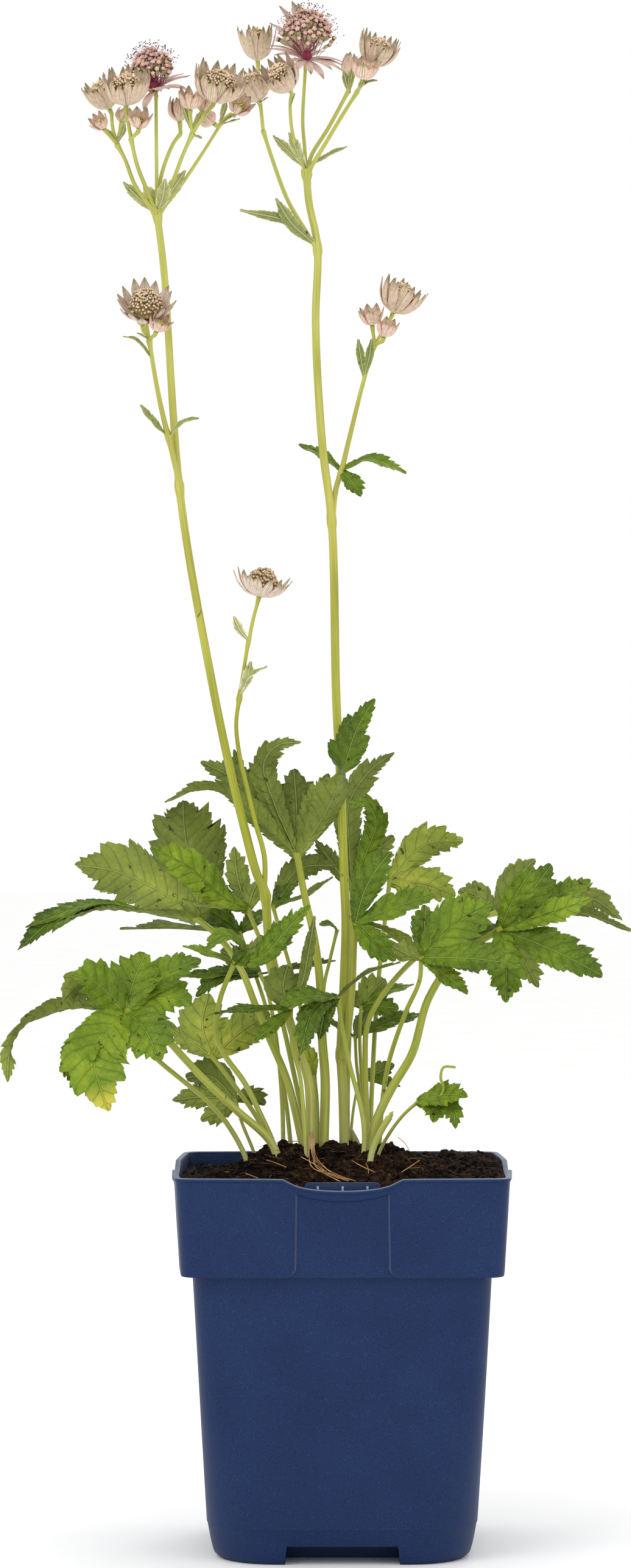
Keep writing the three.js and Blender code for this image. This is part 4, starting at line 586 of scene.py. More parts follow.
leafPlan = {
    "leaf_left_high": {
        "petiole": [[-10, -4, 118], [-13, -4, 133], [-18, -3, 154], [-24, 0, 168.5], [-28.5, 5, 179],
            [-33.5, 10, 191.5], [-41, 16, 202.5], [-49, 20, 209]],
        "girth": [1.6, 1.1],
        "lobes": [
            [21, 165, [-61, 27, 218], [-75.5, 33, 224.5], [-89, 36, 226.5]],
            [14, [115, 45], [-65, 15, 210.5], [-83.5, 9, 211.5], [-96.5, 3, 207.5], [-108, 0, 198]],
            [8, [115, 40], [-65, 16, 211], [-84, 10, 213], [-95, 4, 209.5], [-105.5, 2, 205.5]],
            [24, 180, [-48.5, 24, 220.5], [-52, 25, 235], [-53, 16, 248]],
            [8, 200, [-44.5, 26, 224.5], [-39, 31, 240]],
        ],
    },
    "leaf_left_back": {
        "petiole": [[-15.5, 9, 118], [-17, 10, 133], [-19, 15, 150], [-25, 23, 178], [-31, 32, 196],
            [-34, 36, 204]],
        "girth": [0.9, 0.7],
        "lobes": [
            [12, 100, [-55, 42, 205.5], [-74, 46, 205]],
            [10, 20, [-41, 40, 208.5], [-47, 44, 212]],
            [8, 60, [-30, 38, 207.5], [-26.5, 42, 211.5]],
        ],
    },
    "leaf_left_bright": {
        "petiole": [[-10, 5, 118], [-11, 5, 133], [-14.5, 6, 150], [-20, 7, 175], [-26, 7, 198],
            [-31.5, 6, 212]],
        "girth": [1, 0.8],
        "lobes": [
            [12, 20, [-39, 4, 215], [-51, 0, 225.5], [-63.5, -6, 232]],
            [9, 85, [-45, 1, 212.5], [-57.5, -4, 214]],
            [8, 160, [-34.5, 12, 221.5], [-36, 18, 232.5]],
            [7, 175, [-30, 8, 216.5], [-28, 12, 221]],
        ],
    },
    "leaf_centre": {
        "petiole": [[-6, -4, 118], [-6, -4, 133], [-5.5, -4, 154], [-6.5, -4, 168.5], [-7.5, -3, 190],
            [-9.5, -2, 204], [-12, 0, 214.5], [-15, 4, 230.5]],
        "girth": [2, 1.2],
        "lobes": [
            [16, 180, [-15, 6, 245], [-16, 9, 258.5]],
            [11, 190, [-9, 2.5, 244], [-4.5, 0, 257]],
            [15, [150, 20], [-6.5, 2, 242], [0, -3, 256], [5, -5, 271.5], [11, -6, 282]],
            [9, 190, [-22.5, 1, 247], [-26, -3, 260], [-21, -7, 266.5], [-13.5, -9, 267.5]],
            [12, 170, [-26.5, 5, 243], [-36, 8, 255], [-47, 9, 261]],
            [11, 110, [-26.5, 1, 241], [-39, -2, 251], [-49, -5, 251.5], [-59, -9, 247.5]],
            [9, 10, [-27, 12, 247], [-33, 15, 256], [-36, 16, 265]],
        ],
    },
    "leaf_centre_back": {
        "petiole": [[2, 14, 118], [2, 14, 133], [2, 15, 150], [3, 18, 185], [3.5, 22, 218.5]],
        "girth": [0.9, 0.8],
        "lobes": [
            [12, 180, [9, 26, 228.5], [17.5, 28, 236]],
            [8, 20, [8, 25, 230], [11.5, 25, 241], [8, 22, 247], [2, 19, 247]],
            [10, 170, [2.5, 26, 233], [2.5, 31, 247], [9, 34, 257.5], [17.5, 36, 264]],
            [6, 140, [-2, 19, 225.5], [-9, 15, 235]],
        ],
    },
    "leaf_right_yellow": {
        "petiole": [[9, 11, 118], [9.5, 11, 133], [10, 14, 150], [12, 22, 185], [16, 30, 221.5]],
        "girth": [0.9, 0.8],
        "lobes": [
            [13, 150, [28, 31, 233.5], [40.5, 29, 234.5]],
            [12, 165, [27, 34, 220.5], [38, 37, 216.5]],
            [7, 170, [20, 28, 219], [22, 26, 212]],
        ],
    },
    "leaf_right_front": {
        "petiole": [[12, -2.5, 118], [12.5, -3, 133], [15, -8, 157.5], [21, -17, 176.5], [26, -25, 188],
            [26.5, -30, 196]],
        "girth": [0.9, 0.8],
        "lobes": [
            [17, 25, [37.5, -28, 206.5], [50, -25, 213.5]],
            [9, 20, [27.5, -27, 205.5], [28, -23, 213]],
            [12, 35, [43.5, -40, 195], [59.5, -50, 193]],
            [7, 45, [34.5, -35, 189.5], [42, -42, 183.5]],
            [8, 150, [22.5, -32, 196.5], [17, -34, 199.5]],
        ],
    },
    "leaf_far_right": {
        "petiole": [[9, -9.5, 118], [9.8, -10, 135], [12.5, -11, 143.5], [17, -13, 152.5],
            [23.5, -16, 163.5], [29, -19, 182], [38, -21, 195], [53.5, -22, 205.5]],
        "girth": [1.8, 1.2],
        "lobes": [
            [13, 35, [62.5, -21, 216.5], [70, -18, 226.5]],
            [9, -20, [57.5, -27, 215.5], [64, -31, 226]],
            [10, 40, [69, -18, 214.5], [83, -14, 221.5]],
            [9, 30, [69, -26, 210], [83.5, -28, 215]],
            [15, 40, [70, -30, 198], [87, -36, 189.5]],
            [12, 20, [55, -34, 192], [54.5, -42, 180.5]],
            [10, 40, [46.5, -17, 203.5], [39, -14, 200]],
            [9, 150, [60, -16, 196], [65.5, -13, 185.5]],
        ],
    },
    "leaf_right_back": {
        "petiole": [[8.2, -4.5, 118], [8.4, -4.3, 141], [7.8, -3.5, 160.5], [8.5, -3, 173],
            [12.5, -2, 181.5], [22.5, 0, 193.5], [32.5, 4, 201], [42.5, 8, 207.5], [51.5, 12, 210.5]],
        "girth": [1.1, 0.9],
        "lobes": [
            [10, 165, [57.5, 15, 221], [64.5, 17, 228.5]],
            [9, 175, [45.5, 16, 216], [39, 20, 218]],
            [8, 120, [67, 14, 211], [81, 13, 210.5], [96.5, 12, 204.5]],
            [10, 150, [69, 20, 214.5], [83, 25, 215.5], [93.5, 28, 208]],
        ],
    },
    "leaf_low_left": {
        "petiole": [[-19.5, -14, 118], [-23, -14.5, 133], [-35.5, -17, 145], [-45, -20, 154],
            [-53, -24, 162.5], [-57.5, -26, 167.5], [-65, -30, 174], [-72.5, -34, 178]],
        "girth": [1.6, 1.2],
        "lobes": [
            [15, 30, [-78.5, -37, 184], [-84, -41, 188], [-90, -44, 190]],
            [12, 160, [-80, -33, 186], [-88, -36, 186], [-93, -42, 181.5]],
            [17, 35, [-69.5, -30, 187], [-65.5, -27, 197]],
            [13, 45, [-61, -29, 188.5], [-47, -26, 195]],
            [17, 40, [-61, -33, 182.5], [-50, -35, 180.5]],
            [17, 30, [-65.5, -43, 171.5], [-61, -50, 161]],
            [21, 30, [-77, -42, 172.5], [-82.5, -51, 161.5], [-80.5, -57, 152], [-78, -60, 144.5]],
            [11, 30, [-81, -42, 171], [-88.5, -51, 161], [-88.5, -54, 150]],
            [9, 30, [-80.5, -41, 172], [-89.5, -48, 164], [-92.5, -51, 155.5]],
        ],
    },
    "leaf_far_left": {
        "petiole": [[-29, -11, 118], [-32.5, -11, 130], [-38.5, -11, 140.5], [-45, -12, 148],
            [-53, -14, 154.5], [-63, -18, 163], [-73.5, -22, 175.5]],
        "girth": [1, 0.8],
        "lobes": [
            [11, 125, [-83.5, -24, 179], [-94.5, -29, 178.5], [-105, -36, 174], [-110.5, -43, 165],
                [-111.5, -48, 154]],
            [9, 60, [-80, -20, 180], [-87, -20, 180.5]],
        ],
    },
    "leaf_left_inner": {
        "petiole": [[-21.5, -2, 118], [-23.5, -2, 132.5], [-28.5, -1, 142.5], [-37, 1, 154.5],
            [-43.5, 2, 163]],
        "girth": [1, 0.8],
        "lobes": [
            [16, 175, [-46.5, 5, 173], [-44.5, 9, 183.5]],
            [8, 170, [-50.5, 5, 167.5], [-57.5, 8, 172]],
            [13, 170, [-33.5, 7, 171], [-24, 12, 177]],
        ],
    },
    "leaf_hooded": {
        "petiole": [[-19.5, -8, 118], [-22.5, -8, 132.5], [-27, -8, 143], [-32.5, -9, 154],
            [-39, -10, 163], [-42, -11, 170], [-40.5, -13, 182], [-35.5, -16, 194.5]],
        "girth": [1.1, 0.9],
        "lobes": [
            [9, [40, 80], [-34, -19, 200], [-39, -23, 202.5], [-45.5, -27, 198]],
            [5, 60, [-45, -18, 197], [-53, -20, 199.5]],
            [9, 150, [-27.5, -21, 197.5], [-19, -26, 202.5]],
            [9, 30, [-27, -24, 195.5], [-18.5, -29, 204.5], [-10.5, -32, 213]],
        ],
    },
    "leaf_small_left": {
        "petiole": [[-27, 3, 118], [-29, 3, 129.5], [-33.5, 4, 141], [-35.5, 5, 148.5]],
        "girth": [0.7, 0.6],
        "lobes": [
            [12, 175, [-43.5, 8, 156], [-52, 10, 155.5]],
            [8, 170, [-46, 9, 149], [-56.5, 13, 148]],
            [8, 190, [-41, 8, 144.5], [-47, 11, 141.5]],
            [7, 165, [-30.5, 7, 149.5], [-25.5, 9, 146.5]],
        ],
    },
    "leaf_mid_front": {
        "petiole": [[-11, -14, 118], [-12, -14, 133], [-13, -14, 147.5], [-14, -14, 156.5],
            [-16.5, -16, 166], [-17, -18, 179]],
        "girth": [0.8, 0.7],
        "lobes": [
            [13, 185, [-19.5, -17.5, 186], [-18, -18, 193]],
            [8, 75, [-29.5, -21, 178], [-42.5, -22, 177]],
            [6, 50, [-22.5, -24, 173], [-29, -29, 167.5]],
            [4, 170, [-13.5, -20, 186], [-11, -22, 198], [-9, -22, 209.5]],
        ],
    },
    "leaf_hanging": {
        "petiole": [[6.5, -13.5, 118], [7.3, -13.5, 140], [2.5, -13.5, 160.5], [0, -13.5, 173],
            [-1.5, -14, 183]],
        "girth": [0.9, 0.8],
        "lobes": [
            [8, 40, [-11.5, -25, 182.5], [-21, -34, 179.5]],
            [8, 20, [-9.5, -27, 178], [-14, -36, 163]],
            [6, 15, [-5.5, -23, 177], [-7.5, -30, 168]],
            [6, 80, [8, -22, 190], [19.5, -33, 194]],
        ],
    },
    "leaf_mid_back": {
        "petiole": [[-8, 11, 118], [-8.5, 11, 133], [-10, 12, 150], [-14, 11, 180], [-20, 5, 202],
            [-23, 2, 213]],
        "girth": [0.8, 0.7],
        "lobes": [
            [9, 165, [-14.5, 9, 225], [-2, 14, 226.5]],
            [6, 20, [-20, 4, 216.5], [-17.5, 5, 220]],
            [5, 120, [-11.5, 10, 216.5], [-3, 13, 222.5]],
        ],
    },
    "leaf_thin": {
        "petiole": [[-5.5, 3.5, 118], [-5.8, 3.5, 140], [-6, 4, 185], [-4, 3.5, 194.5], [-1.5, 2.5, 205]],
        "girth": [0.8, 0.6],
        "lobes": [
            [4, 60, [-3.5, 1, 206.5], [-7.5, -1, 206.5]],
        ],
    },
    "leaf_back_strip": {
        "petiole": [[-19.5, 5, 118], [-19.5, 5, 133], [-20, 8, 150], [-22, 13, 170], [-25, 18, 185],
            [-27.5, 20, 190.5]],
        "girth": [0.9, 0.7],
        "lobes": [
            [8, 75, [-44, 26, 189.5], [-61, 30, 189]],
            [7, 30, [-42, 24, 189], [-48.5, 25, 182.5]],
            [9, 165, [-33.5, 25, 194], [-40.5, 29, 198]],
            [7, 110, [-14.5, 23, 192], [-2, 27, 194.5]],
        ],
    },
    "leaf_small_right": {
        "petiole": [[8, 0.5, 118], [8, 0.5, 133], [6.5, 3, 157.5], [6, 5, 170], [6.5, 6, 179.5]],
        "girth": [0.8, 0.6],
        "lobes": [
            [11, 170, [10, 9, 184], [14.5, 12, 188.5]],
            [6, 175, [4.5, 8, 181.5], [1, 9, 182]],
            [5, 60, [16, 10, 184.5], [24, 14, 186.5]],
            [8, 30, [13, 7, 179], [19, 8, 178.5]],
        ],
    },
    "leaf_inner_right": {
        "petiole": [[8.5, 5, 118], [8.5, 5, 133], [6.5, 6, 149.5], [5, 7, 159.5], [4.5, 8, 169.5]],
        "girth": [0.6, 0.6],
        "lobes": [
            [8, 60, [16, 13, 174], [27, 17, 177]],
            [6, 175, [7, 12, 174], [9, 15, 178.5]],
            [6, 120, [-1, 10, 172], [-5.5, 12, 175]],
        ],
    },
    "leaf_tiny": {
        "petiole": [[3, 8.5, 118], [3, 10, 135], [4, 13.5, 145.5], [6, 17, 156]],
        "girth": [0.6, 0.5],
        "lobes": [
            [7, 160, [11.5, 20, 157], [17.5, 22, 160]],
            [5, 50, [12.5, 19, 154.5], [19.5, 18, 152.5]],
        ],
    },
    "leaf_young": {
        "petiole": [[11.5, -13.5, 118], [12, -14, 129], [16, -17, 137], [20.5, -22, 143],
            [25.5, -27, 147.5]],
        "girth": [0.65, 0.6],
        "lobes": [
            [9, 30, [33.5, -34, 149.5], [42, -40, 149.5]],
            [7, 10, [31, -31, 145.5], [30.5, -34, 140.5]],
            [7, 30, [36.5, -36, 145], [38, -41, 138.5]],
        ],
        "extra": [{
            "from": [33, -33.5, 149], "to": [[34, -35, 152], [33, -36, 155.5], [34, -36, 159], [38, -36, 159]],
            "girth": [0.5, 0.4],
        }],
    },
}
leafPlan["leaf_in_sheath"] = {
    "petiole": [[-8.2, 0.5, 118], [-8.2, 0.5, 133], [-8.3, 0, 147.5], [-9.2, -1, 156.5]],
    "girth": [1, 0.7],
    "lobes": [[5, 20, [-10.2, -1.5, 161], [-12, -2, 167]]],
}

leafTone = {             # 0 deep green, 1 yellow-green where light shines through
    "leaf_left_high": 0.33, "leaf_left_back": 0.3, "leaf_left_bright": 0.5, "leaf_centre": 0.4,
    "leaf_centre_back": 0.4, "leaf_right_yellow": 0.75, "leaf_right_front": 0.47,
    "leaf_far_right": 0.5, "leaf_right_back": 0.35, "leaf_low_left": 0.5, "leaf_far_left": 0.52,
    "leaf_left_inner": 0.7, "leaf_hooded": 0.5, "leaf_small_left": 0.4, "leaf_mid_front": 0.35,
    "leaf_hanging": 0.3, "leaf_mid_back": 0.35, "leaf_thin": 0.3, "leaf_back_strip": 0.25,
    "leaf_small_right": 0.45, "leaf_inner_right": 0.25, "leaf_tiny": 0.4, "leaf_young": 0.6,
    "leaf_in_sheath": 0.8,
}
fadedTip = {"leaf_low_left": 6}       # this lobe of this leaf has yellowed at its tip
litMiddle = {"leaf_left_high": 0.5, "leaf_right_yellow": 0.3, "leaf_left_inner": 0.35, "leaf_left_back": 0.2}


def toneOf(level, rng, isFaded=False, lit=0.12):
    # each blade has its own green, lighter along its middle where light shines through
    own = min(0.9, max(0.05, level + rng.uniform(-0.2, 0.1)))
    faded = lambda t: max(0.0, (t - 0.7) / 0.25) if isFaded else 0.0
    return lambda t, u: (own + lit * (1 - abs(u)) ** 1.5 * (1 - t) ** 0.7, faded(t), 0.0, 1.0)


lobeGrowth = 1.08        # the lobes' widths are set out between the teeth


def makeLeaf(name, plan, seed):
    rng = random.Random(seed)
    line = smoothLine([place(p) for p in plan["petiole"]], longest=2.5)
    girth = [radius * 0.9 for radius in plan["girth"]]
    lines = [(line, tapered(line, girth, [(line[-1], girth[1] * 0.3)]))]
    for extra in plan.get("extra", []):
        thin = smoothLine([place(extra["from"]), *map(place, extra["to"])], longest=1)
        lines.append((thin, tapered(thin, extra["girth"])))
    skin = newSkin()
    junction = line[-1] - (line[-1] - line[-2]).normalized() * girth[1]
    for i, lobe in enumerate(plan["lobes"]):
        tone = toneOf(leafTone[name], rng, fadedTip.get(name) == i, litMiddle.get(name, 0.12))
        addBlade(skin, junction, [lobe[0] * lobeGrowth, *lobe[1:]], rng, tone)
    blades = meshOf(name, skin, [leafUpper, leafUnder])
    piece = joined("fine_" + name, [stalkMesh(name, lines, finish=petioleGreen), blades])
    settle(piece, name, 55)


for seed, (name, plan) in enumerate(leafPlan.items()):
    makeLeaf(name, plan, seed)
print("leaves made")


# Flower stems. Each has its main line, its side lines, swollen joints and the bracts at them.

stemPlan = {
    "stem_left": {
        "lines": [
            { "girth": [1.6, 1.15], "line": [[-9.5, -9.5, 118], [-10.4, -9.5, 133], [-11, -9.5, 154],
                [-13.8, -9, 163.5], [-17, -8, 173], [-22.6, -8, 192.7], [-24.4, -9, 202.5],
                [-25.8, -11, 217.7], [-28.3, -12, 223.4], [-33, -14, 241], [-37.6, -16, 260],
                [-43.3, -18, 287.6], [-53.7, -22, 348.6], [-59.3, -24, 424.8], [-61.6, -24, 444]] },
            { "girth": [0.85, 0.58], "line": [[-25.8, -11, 216], [-25.8, -12, 229.3], [-28.9, -13.5, 241],
                [-31.7, -14.5, 252.7], [-34.1, -15, 263.2], [-35.2, -16, 273.6], [-34.1, -16, 282.3],
                [-31.1, -16, 301.4]] },
            { "girth": [1.0, 0.65], "line": [[-53.9, -22, 353], [-56.5, -26, 364], [-60.4, -30, 380],
                [-62.4, -33, 390.4], [-64.2, -35, 401.8]] },
            { "girth": [0.75, 0.6], "line": [[-61.6, -24, 443], [-64.5, -27, 447], [-68.9, -30, 453.2],
                [-72.3, -32, 462], [-75, -33, 467]] },
            { "girth": [0.75, 0.6], "line": [[-61.6, -24, 443], [-65.2, -29, 452.2], [-68.3, -34, 460.3],
                [-70.3, -37, 468.9]] },
            { "girth": [0.7, 0.6], "line": [[-61.6, -24, 443], [-60.2, -20, 456.3], [-56.1, -17, 467.4],
                [-53.7, -16, 470.5]] },
            { "girth": [0.7, 0.6], "line": [[-61.6, -24, 443], [-56.5, -26, 454.2], [-53, -27, 463.4],
                [-49.8, -28, 470.5]] },
            { "girth": [0.65, 0.5], "line": [[-61.6, -24, 443], [-53, -19, 454.2], [-44.9, -14, 466.4],
                [-39.8, -12, 474.6]] },
        ],
        "knuckles": [[2.3, 1.7, [-25.7, -11, 216]], [1.7, 1.7, [-34.1, -16, 282.3]],
            [2, 1.7, [-54, -22.3, 352.5]], [1.5, 1.4, [-57.8, -27.5, 369.5]],
            [2.4, 1.2, [-61.6, -24, 443.6]]],
        "bracts": [
            [4, 150, [-34.1, -16, 283], [-31.5, -18, 289], [-30.3, -18, 294.5]],
            [3, 60, [-34.1, -16, 283], [-30.5, -19, 289.5], [-24.8, -21, 292.7]],
            [3, 170, [-31.1, -16, 301.4], [-34, -17, 305], [-36, -18, 309.5]],
            [4, 60, [-57.8, -27.5, 369], [-63, -29, 374.5], [-67.3, -30, 380]],
            [4, 60, [-57.8, -27.5, 369], [-53, -30, 374], [-47.6, -32, 375.6]],
            [4, 150, [-61.6, -24, 444], [-67, -27.5, 448.5], [-73, -28, 454.4]],
            [5, 150, [-61.6, -24, 444], [-63.5, -22, 449], [-66.2, -21, 453.5]],
            [5, 160, [-61.6, -24, 444], [-59.5, -29, 450], [-58.9, -31, 455.5]],
            [5, 150, [-61.6, -24, 444], [-57, -22, 451], [-52, -20, 458.3]],
            [2.4, 150, [-50.4, -28, 472.5], [-53, -29, 480]],
            [2.2, 30, [-49.8, -28, 471.5], [-46.7, -30, 478.2]],
            [1.7, 60, [-45.9, -29, 475], [-43.9, -31, 478.6]],
            [1.8, 60, [-49.4, -28, 470.1], [-46.7, -30, 468.9]],
            [2.3, 120, [-40.4, -12, 474.6], [-38.4, -14, 481.7]],
            [2.5, 60, [-40.4, -12, 473.5], [-36, -14, 476.5], [-32.1, -15, 477.6]],
            [1.9, 60, [-40.4, -12, 473.5], [-33.9, -15, 475.4]],
            [2.8, 60, [-75, -33, 467.4], [-78, -34, 471], [-81.5, -35, 472.9]],
            [2.2, 110, [-75, -33, 467.4], [-73, -34, 471], [-72.4, -35, 474]],
            [2.7, 60, [-70.3, -37, 468.9], [-65.6, -39, 473.5]],
            [2.2, 60, [-64.5, -35, 401.9], [-68.3, -37, 404]],
            [2.6, 60, [-63.4, -34, 395.6], [-68.5, -36, 401.6], [-72.9, -37, 402.8]],
            [2, 60, [-60.2, -40, 405.5], [-56.6, -41, 407.3]],
        ],
    },
    "stem_right": {
        "lines": [
            { "girth": [1.6, 1.25], "line": [[0.8, -2, 118], [0.8, -2, 133], [0.4, -2, 151], [-0.2, -2, 163.5],
                [0.5, -2, 180], [1.4, -1, 207.2], [0.8, 2, 222.6], [-0.2, 6, 251], [-1.8, 8, 281.5],
                [-3.3, 10, 340.4], [-6.5, 10, 367], [-8.7, 12, 407], [-8.1, 12, 432.9], [-11, 12, 448.1],
                [-11.8, 12, 458.7]] },
            { "girth": [1.3, 1.0], "line": [[0, -3, 162], [2, -4.5, 172], [3.5, -6, 186], [4, -7.5, 198],
                [4.5, -9, 207]] },
            { "girth": [1.0, 0.62], "line": [[-3.2, 10, 342], [-1.8, 12, 352.6], [-0.2, 13.5, 357.5],
                [2.4, 14.5, 368.3], [7.5, 15, 388.8], [11, 16, 400.2]] },
            { "girth": [0.75, 0.62], "line": [[-8.2, 12, 432], [-12, 10, 438], [-17.9, 7, 448.1],
                [-22.6, 5, 460.3], [-26.2, 4, 471.5]] },
            { "girth": [0.72, 0.62], "line": [[-11.8, 12, 457], [-10, 13, 463.4], [-4.7, 15, 472], [2, 17, 484.3]] },
            { "girth": [0.72, 0.62], "line": [[-11.8, 12, 457], [-8, 8, 463], [0.8, 4, 477.6], [5.3, 3, 484.7]] },
        ],
        "knuckles": [[2.2, 1.7, [0, -2.5, 163]], [1.8, 1.7, [-3.2, 10, 341.5]],
            [1.9, 1.7, [-8.3, 12, 432]], [1.4, 1.4, [-0.2, 13.5, 357.5]], [2.2, 1.2, [-11.8, 12, 458]]],
        "bracts": [
            [10, 30, [4.5, -9, 207], [7.5, -8, 217.5], [12, -7, 225.5], [16.5, -5, 231]],
            [11, 45, [4.5, -9, 207], [17, -12, 212], [31, -14, 216.5]],
            [7, 110, [4.5, -9, 207], [15, -9.5, 204.5], [29, -8, 194.5]],
            [9, 20, [4.5, -9, 207], [10.5, -15, 201], [18, -17, 194.5]],
            [5, 60, [-0.2, 13.5, 358], [-7, 17, 363.5], [-14.4, 19, 366.7]],
            [6, 60, [-0.2, 13.5, 358], [9, 11, 361.8], [21.5, 8, 357.1]],
            [6, 30, [-0.2, 13.5, 358], [3.5, 9, 354], [6.5, 6, 349.6]],
            [3, 30, [7.5, 15, 389], [6.3, 13, 396], [5.5, 12, 402]],
            [3, 30, [7.5, 15, 389], [9.2, 13, 396], [10, 11, 402]],
            [3.5, 160, [-8.2, 12, 433], [-16, 5, 440.5], [-34, -2, 445]],
            [5, 165, [-8.2, 12, 433], [-17, 3, 441], [-22, -1, 449]],
            [4, 120, [-11.8, 12, 458.7], [-14.5, 8, 464], [-17.7, 6, 471]],
            [3.5, 150, [-11.8, 12, 458.7], [-17, 13, 464], [-23, 15, 469.9]],
            [3.5, 60, [-11.8, 12, 458.7], [-5, 11, 463], [1.8, 11, 466.2]],
            [2.4, 150, [2.4, 17, 484.1], [0.6, 16, 491.6]],
            [2.4, 30, [2.4, 17, 484.1], [3.9, 15, 493.3]],
            [2.8, 60, [5.3, 3, 484.9], [8.5, 2, 487.5], [12, 1, 488.2]],
            [2.1, 30, [5.3, 3, 484.9], [7.9, 1, 489.2]],
            [1.4, 150, [-27.2, 4, 480.7], [-29.7, 3, 482.1]],
            [1.4, 60, [-27.2, 4, 480.7], [-24.6, 3, 482.7]],
            [1.5, 60, [-17, 1, 479.5], [-15.6, -1, 484]],
        ],
    },
}


# Flower heads. on: the stem that carries it; way: its stalk up to the head; lean: where the head
# points; form: one of headForms; r and h: its half width and its height, without the florets;
# sway: how far the bracts droop, and on which side (0 right, 90 back); dome: this head's own;
# raised: bracts that stand up, each with its side, its lift and its size.

